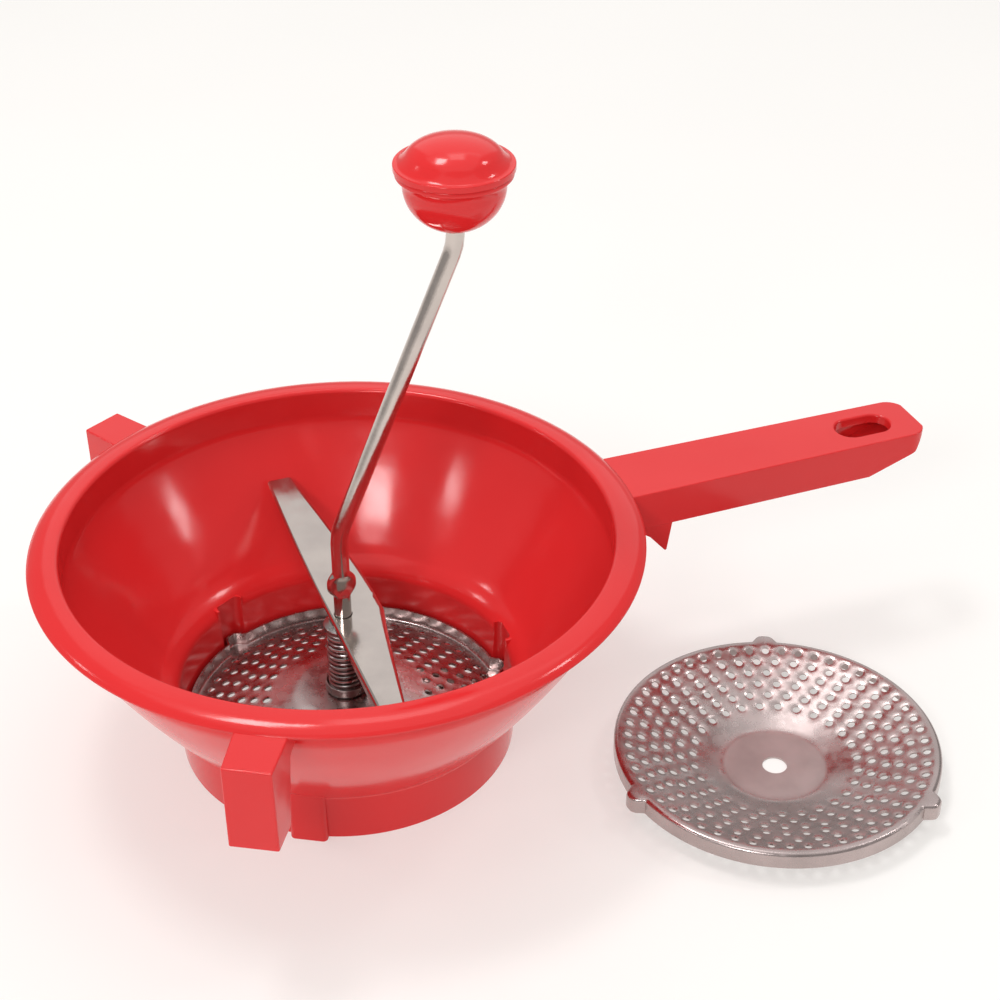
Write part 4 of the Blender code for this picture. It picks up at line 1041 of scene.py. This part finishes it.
def blade_section(s):
    """Points across the blade at s: up the leading lip, across the face and down the wing."""
    lead, trail = -BLADE_LEAD, trailing_edge(s)
    far_share = max(0.0, s) / BLADE_FAR_REACH
    tip_share = max(far_share, -s / BLADE_NEAR_REACH)
    height = BLADE_HEIGHT - 0.5 * BLADE_SHEET + BLADE_TIP_RISE * far_share ** 2
    rounding = BLADE_EDGE_ROUND * (1.0 - TIP_SHARPNESS_SHARE * tip_share)
    foot = height - rounding - BLADE_EDGE_DROP
    if s <= WING_START:
        foot = min(foot, wing_foot(math.hypot(s, trail + WING_SLANT)))
    slant = WING_SLANT * (height - foot) / BLADE_HEIGHT
    across = filleted([
        (lead, height - lip_depth(s), 0.0),
        (lead, height, LIP_BEND_SHARE * BLADE_SHEET),
        (trail, height, rounding),
        (trail + slant, foot, 0.0),
    ], closed=False)
    lip, face, wing = across[:LIP_POINTS], across[LIP_POINTS:-1], across[-1]
    # Points close together end the lip's bend, and keep the face's shading flat up to it
    held = spaced((lip[-1][0], height), (face[0][0], height), EDGE_STEPS)[:-1]
    return lip + held + face + spaced(face[-1], wing, WING_STEPS)


def make_blade(finish):
    """The blade: a loft along its length, thickened, with the hole for the rod."""
    stations = []
    for index in range(BLADE_STATIONS + 1):
        stations.append(-BLADE_NEAR_REACH + (BLADE_NEAR_REACH + WING_START) * index / BLADE_STATIONS)
    far_count = BLADE_STATIONS // 2
    start = WING_START + BLADE_SHEET
    for index in range(far_count + 1):
        stations.append(start + (BLADE_FAR_REACH - start) * index / far_count)
    edit = bmesh.new()
    rows = [[edit.verts.new((x, s, z)) for x, z in blade_section(s)] for s in stations]
    for row, after in zip(rows, rows[1:]):
        bridge(edit, row, after, closed=False)
    blade = thickened(object_from_bmesh("blade_sheet", edit), BLADE_SHEET)
    round_outline = arc((0.0, 0.0), BORE_RADIUS, 0.0, FULL_TURN, BLADE_BORE_SIDES)[:-1]
    low = BLADE_HEIGHT - BLADE_SHEET - OVERRUN
    combine(blade, [plate("blade_bore", round_outline, low, BLADE_HEIGHT + OVERRUN)], "DIFFERENCE")
    dress(smooth(blade), finish, "crank", "blade")


# Spring and its seats

def collar_top():
    """The collar under the blade bears on the folded lip."""
    return BLADE_HEIGHT - 0.5 * BLADE_SHEET - lip_depth(-COLLAR_RADIUS) - GAP


def make_spring(finish):
    """The compression spring, with its end turns closed."""
    head = collar_top() - COLLAR_HEIGHT - GAP - SPRING_WIRE
    closed_rise = 2.0 * SPRING_WIRE + 0.5 * GAP
    open_rise = (head - SPRING_FOOT - 2.0 * closed_rise) / (SPRING_TURNS - 2)
    curve = bpy.data.curves.new("spring_path", "CURVE")
    curve.dimensions = "3D"
    curve.bevel_depth = SPRING_WIRE
    curve.bevel_resolution = SPRING_WIRE_DETAIL
    curve.use_fill_caps = True
    steps = SPRING_TURNS * SPRING_STEPS
    spline = curve.splines.new("POLY")
    spline.points.add(steps)
    height = SPRING_FOOT
    for step, point in enumerate(spline.points):
        turn = step / SPRING_STEPS
        angle = FULL_TURN * turn
        point.co = (SPRING_RADIUS * math.cos(angle), SPRING_RADIUS * math.sin(angle), height, 1.0)
        rise = closed_rise if turn < 1.0 or turn >= SPRING_TURNS - 1 else open_rise
        height += rise / SPRING_STEPS
    holder = add_object("spring_path", curve)
    bpy.context.view_layer.update()
    mesh = bpy.data.meshes.new_from_object(holder.evaluated_get(bpy.context.evaluated_depsgraph_get()))
    bpy.data.objects.remove(holder, do_unlink=True)
    edit = bmesh.new()
    edit.from_mesh(mesh)
    bmesh.ops.remove_doubles(edit, verts=edit.verts, dist=MERGE)
    spring = smooth(object_from_bmesh("spring_coil", edit), weighted=False)
    dress(spring, finish, "mill", "spring")
    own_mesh(spring)


def make_spring_cup(finish):
    """The cup that stands in the disc's hole."""
    fine = SEAT_EDGE_SHARE * CUP_WALL
    rim = CUP_FOOT + CUP_HEIGHT
    floor = CUP_FOOT + CUP_WALL
    neck_foot = DISC_TOP - DISC_SHEET - CUP_WALL
    cup = filleted([
        (CUP_RADIUS, rim, fine), (CUP_RADIUS, CUP_FOOT, CUP_WALL), (CUP_NECK_RADIUS, CUP_FOOT, 0.0),
        (CUP_NECK_RADIUS, neck_foot, fine), (BORE_RADIUS, neck_foot, fine), (BORE_RADIUS, floor, 0.0),
        (CUP_RADIUS - CUP_WALL, floor, fine), (CUP_RADIUS - CUP_WALL, rim, fine),
    ])
    dress(smooth(turned("cup", cup)), finish, "mill", "spring_cup")


def make_collar(finish):
    """The collar between the spring and the blade."""
    fine = SEAT_EDGE_SHARE * CUP_WALL
    top = collar_top()
    foot = top - COLLAR_HEIGHT
    collar = filleted([
        (SPRING_RADIUS - SPRING_WIRE - GAP, top, fine),
        (COLLAR_RADIUS, top - 0.5 * COLLAR_HEIGHT, 2.0 * fine), (COLLAR_RADIUS, foot, fine),
        (BORE_RADIUS, foot, 0.0), (BORE_RADIUS, top, 0.0),
    ])
    dress(smooth(turned("collar", collar)), finish, "press", "spring_collar")


# Knob

def make_knob_cup(finish):
    """The knob's lower half, which turns on the rod's pin by the sleeve inside it."""
    lip_foot = KNOB_BAND + KNOB_SHOULDER_HEIGHT
    edge = KNOB_LIP_EDGE_SHARE * KNOB_LIP_HEIGHT
    cup = [(KNOB_LIP_RADIUS - 0.5 * edge, KNOB_PLANE), (KNOB_LIP_RADIUS, KNOB_PLANE - edge)]
    cup += arc((KNOB_LIP_RADIUS - edge, lip_foot + edge), edge, 0.0, -0.5 * math.pi, KNOB_EDGE_STEPS)
    shoulder = (KNOB_CUP_RADIUS, KNOB_BAND)
    shoulder_corner = (KNOB_CUP_RADIUS + 0.5 * edge, lip_foot - 0.5 * edge)
    cup += bend(cup[-1], shoulder_corner, shoulder, KNOB_BEND_STEPS)[1:]
    foot_turn = math.acos(KNOB_FOOT_RADIUS / KNOB_CUP_RADIUS)
    stretch = KNOB_CUP_DEPTH / KNOB_CUP_RADIUS
    cup += arc((0.0, KNOB_BAND), KNOB_CUP_RADIUS, 0.0, -foot_turn, KNOB_CUP_STEPS, stretch)[1:]
    cup += [(BORE_RADIUS, KNOB_FOOT), (BORE_RADIUS, SLEEVE_TOP), (KNOB_SLEEVE_RADIUS, SLEEVE_TOP)]
    sleeve_turn = math.acos(KNOB_SLEEVE_RADIUS / KNOB_INNER_RADIUS)
    inner_stretch = (KNOB_CUP_DEPTH - KNOB_WALL) / KNOB_INNER_RADIUS
    cup += arc((0.0, KNOB_BAND), KNOB_INNER_RADIUS, -sleeve_turn, 0.0, KNOB_CUP_INNER_STEPS, inner_stretch)
    cup += [(KNOB_INNER_RADIUS, KNOB_PLANE)]
    dress(smooth(turned("knob_bowl", cup)), finish, "knob", "knob_cup", KNOB_AXIS)


def make_push_nut(finish):
    """The nut pressed on the rod's end above the knob's sleeve."""
    foot = SLEEVE_TOP + GAP
    fine = NUT_EDGE_SHARE * NUT_THICKNESS
    nut = filleted([
        (NUT_RADIUS, foot + NUT_THICKNESS, fine), (NUT_RADIUS, foot, fine),
        (BORE_RADIUS, foot, 0.0), (BORE_RADIUS, foot + NUT_THICKNESS, 0.0),
    ])
    nut = smooth(turned("push_nut", nut, NUT_SIDES))
    dress(nut, finish, "crank", "knob_push_nut", KNOB_AXIS)


def make_knob_cap(finish):
    """The domed cap, which flares into its flange and plugs into the cup."""
    foot = KNOB_PLANE + GAP
    shelf = foot + KNOB_FLANGE_HEIGHT
    crown = shelf + KNOB_DOME_HEIGHT
    edge = KNOB_FLANGE_EDGE_SHARE * KNOB_FLANGE_HEIGHT
    plug = KNOB_INNER_RADIUS - GAP
    plug_foot = foot - KNOB_PLUG_DEPTH
    hollow = plug - KNOB_WALL
    flare_turn = math.asin(KNOB_FLARE / KNOB_DOME_HEIGHT)
    stretch = KNOB_DOME_HEIGHT / KNOB_DOME_RADIUS
    cap = arc((0.0, shelf), KNOB_DOME_RADIUS, 0.5 * math.pi, flare_turn, KNOB_DOME_STEPS, stretch)
    cap[0] = (0.0, crown)
    flare_end = (KNOB_FLANGE_RADIUS - edge, shelf)
    flare_corner = (cap[-1][0] + KNOB_FLARE * math.tan(flare_turn) / stretch, shelf)
    cap += bend(cap[-1], flare_corner, flare_end, KNOB_BEND_STEPS)[1:]
    cap += filleted([
        (*flare_end, 0.0), (KNOB_FLANGE_RADIUS, shelf, edge), (KNOB_FLANGE_RADIUS, foot, 0.5 * edge),
        (plug, foot, 0.0), (plug, plug_foot, 0.0), (hollow, plug_foot, 0.0),
    ], closed=False)[1:]
    inner_stretch = (KNOB_DOME_HEIGHT - KNOB_WALL) / hollow
    cap += arc((0.0, shelf), hollow, 0.0, 0.5 * math.pi, KNOB_DOME_INNER_STEPS, inner_stretch)
    cap[-1] = (0.0, crown - KNOB_WALL)
    dome = smooth(turned("knob_dome", cap, closed=False))
    dress(dome, finish, "knob", "knob_cap", KNOB_AXIS)


# Stage, lights and camera

def make_stage():
    """A pale floor and a pale surrounding, shown without a film curve."""
    edit = bmesh.new()
    bmesh.ops.create_grid(edit, x_segments=1, y_segments=1, size=FLOOR_REACH)
    floor = object_from_bmesh("floor", edit)
    floor.location.z = -FLOOR_DROP
    material, tree, shader = new_material("floor", FLOOR_COLOUR, FLOOR_ROUGHNESS, 0.0)
    tint = ramp(tree, noise(tree, *FLOOR_MOTTLE), *FLOOR_RANGE)
    tree.links.new(tint, shader.inputs["Base Color"])
    shader.inputs["Emission Color"].default_value = FLOOR_GLOW
    shader.inputs["Emission Strength"].default_value = FLOOR_GLOW_STRENGTH
    floor.data.materials.append(material)
    world = bpy.data.worlds.new("studio")
    bpy.context.scene.world = world
    world.use_nodes = True
    background = world.node_tree.nodes["Background"]
    background.inputs["Color"].default_value = WORLD_COLOUR
    background.inputs["Strength"].default_value = WORLD_STRENGTH
    bpy.context.scene.view_settings.view_transform = "Standard"


def aimed(name, data, place, direction):
    """An object for a light or a camera at its place, looking in the direction."""
    holder = add_object(name, data)
    holder.location = place
    holder.rotation_euler = direction.to_track_quat("-Z", "Y").to_euler()
    return holder


def make_lights():
    for name, place, target, width, height, power in LIGHTS:
        data = bpy.data.lights.new(name, "AREA")
        data.shape = "RECTANGLE"
        data.size = width
        data.size_y = height
        data.energy = power
        aimed(name, data, place, target - Vector(place))


def make_camera():
    data = bpy.data.cameras.new("camera")
    data.lens = CAMERA_LENS
    data.sensor_width = CAMERA_SENSOR
    level = math.cos(CAMERA_PITCH)
    ahead = (math.cos(CAMERA_HEADING) * level, math.sin(CAMERA_HEADING) * level, math.sin(CAMERA_PITCH))
    bpy.context.scene.camera = aimed("camera", data, CAMERA_PLACE, Vector(ahead))


make_camera()
make_stage()
make_lights()
red = red_plastic()
polished = steel("polished_steel", *POLISHED_STEEL)
sieve = steel("sieve_steel", *SIEVE_STEEL, DISC_SHEET)
dark = steel("dark_steel", *DARK_STEEL)
make_bowl(red)
make_discs(sieve)
make_rod(polished)
make_blade(polished)
make_spring(dark)
make_spring_cup(dark)
make_collar(dark)
make_knob_cup(red)
make_push_nut(dark)
make_knob_cap(red)
bar = frame["nodes"]["lock_bar"]
bar.data.materials.clear()
bar.data.materials.append(polished)
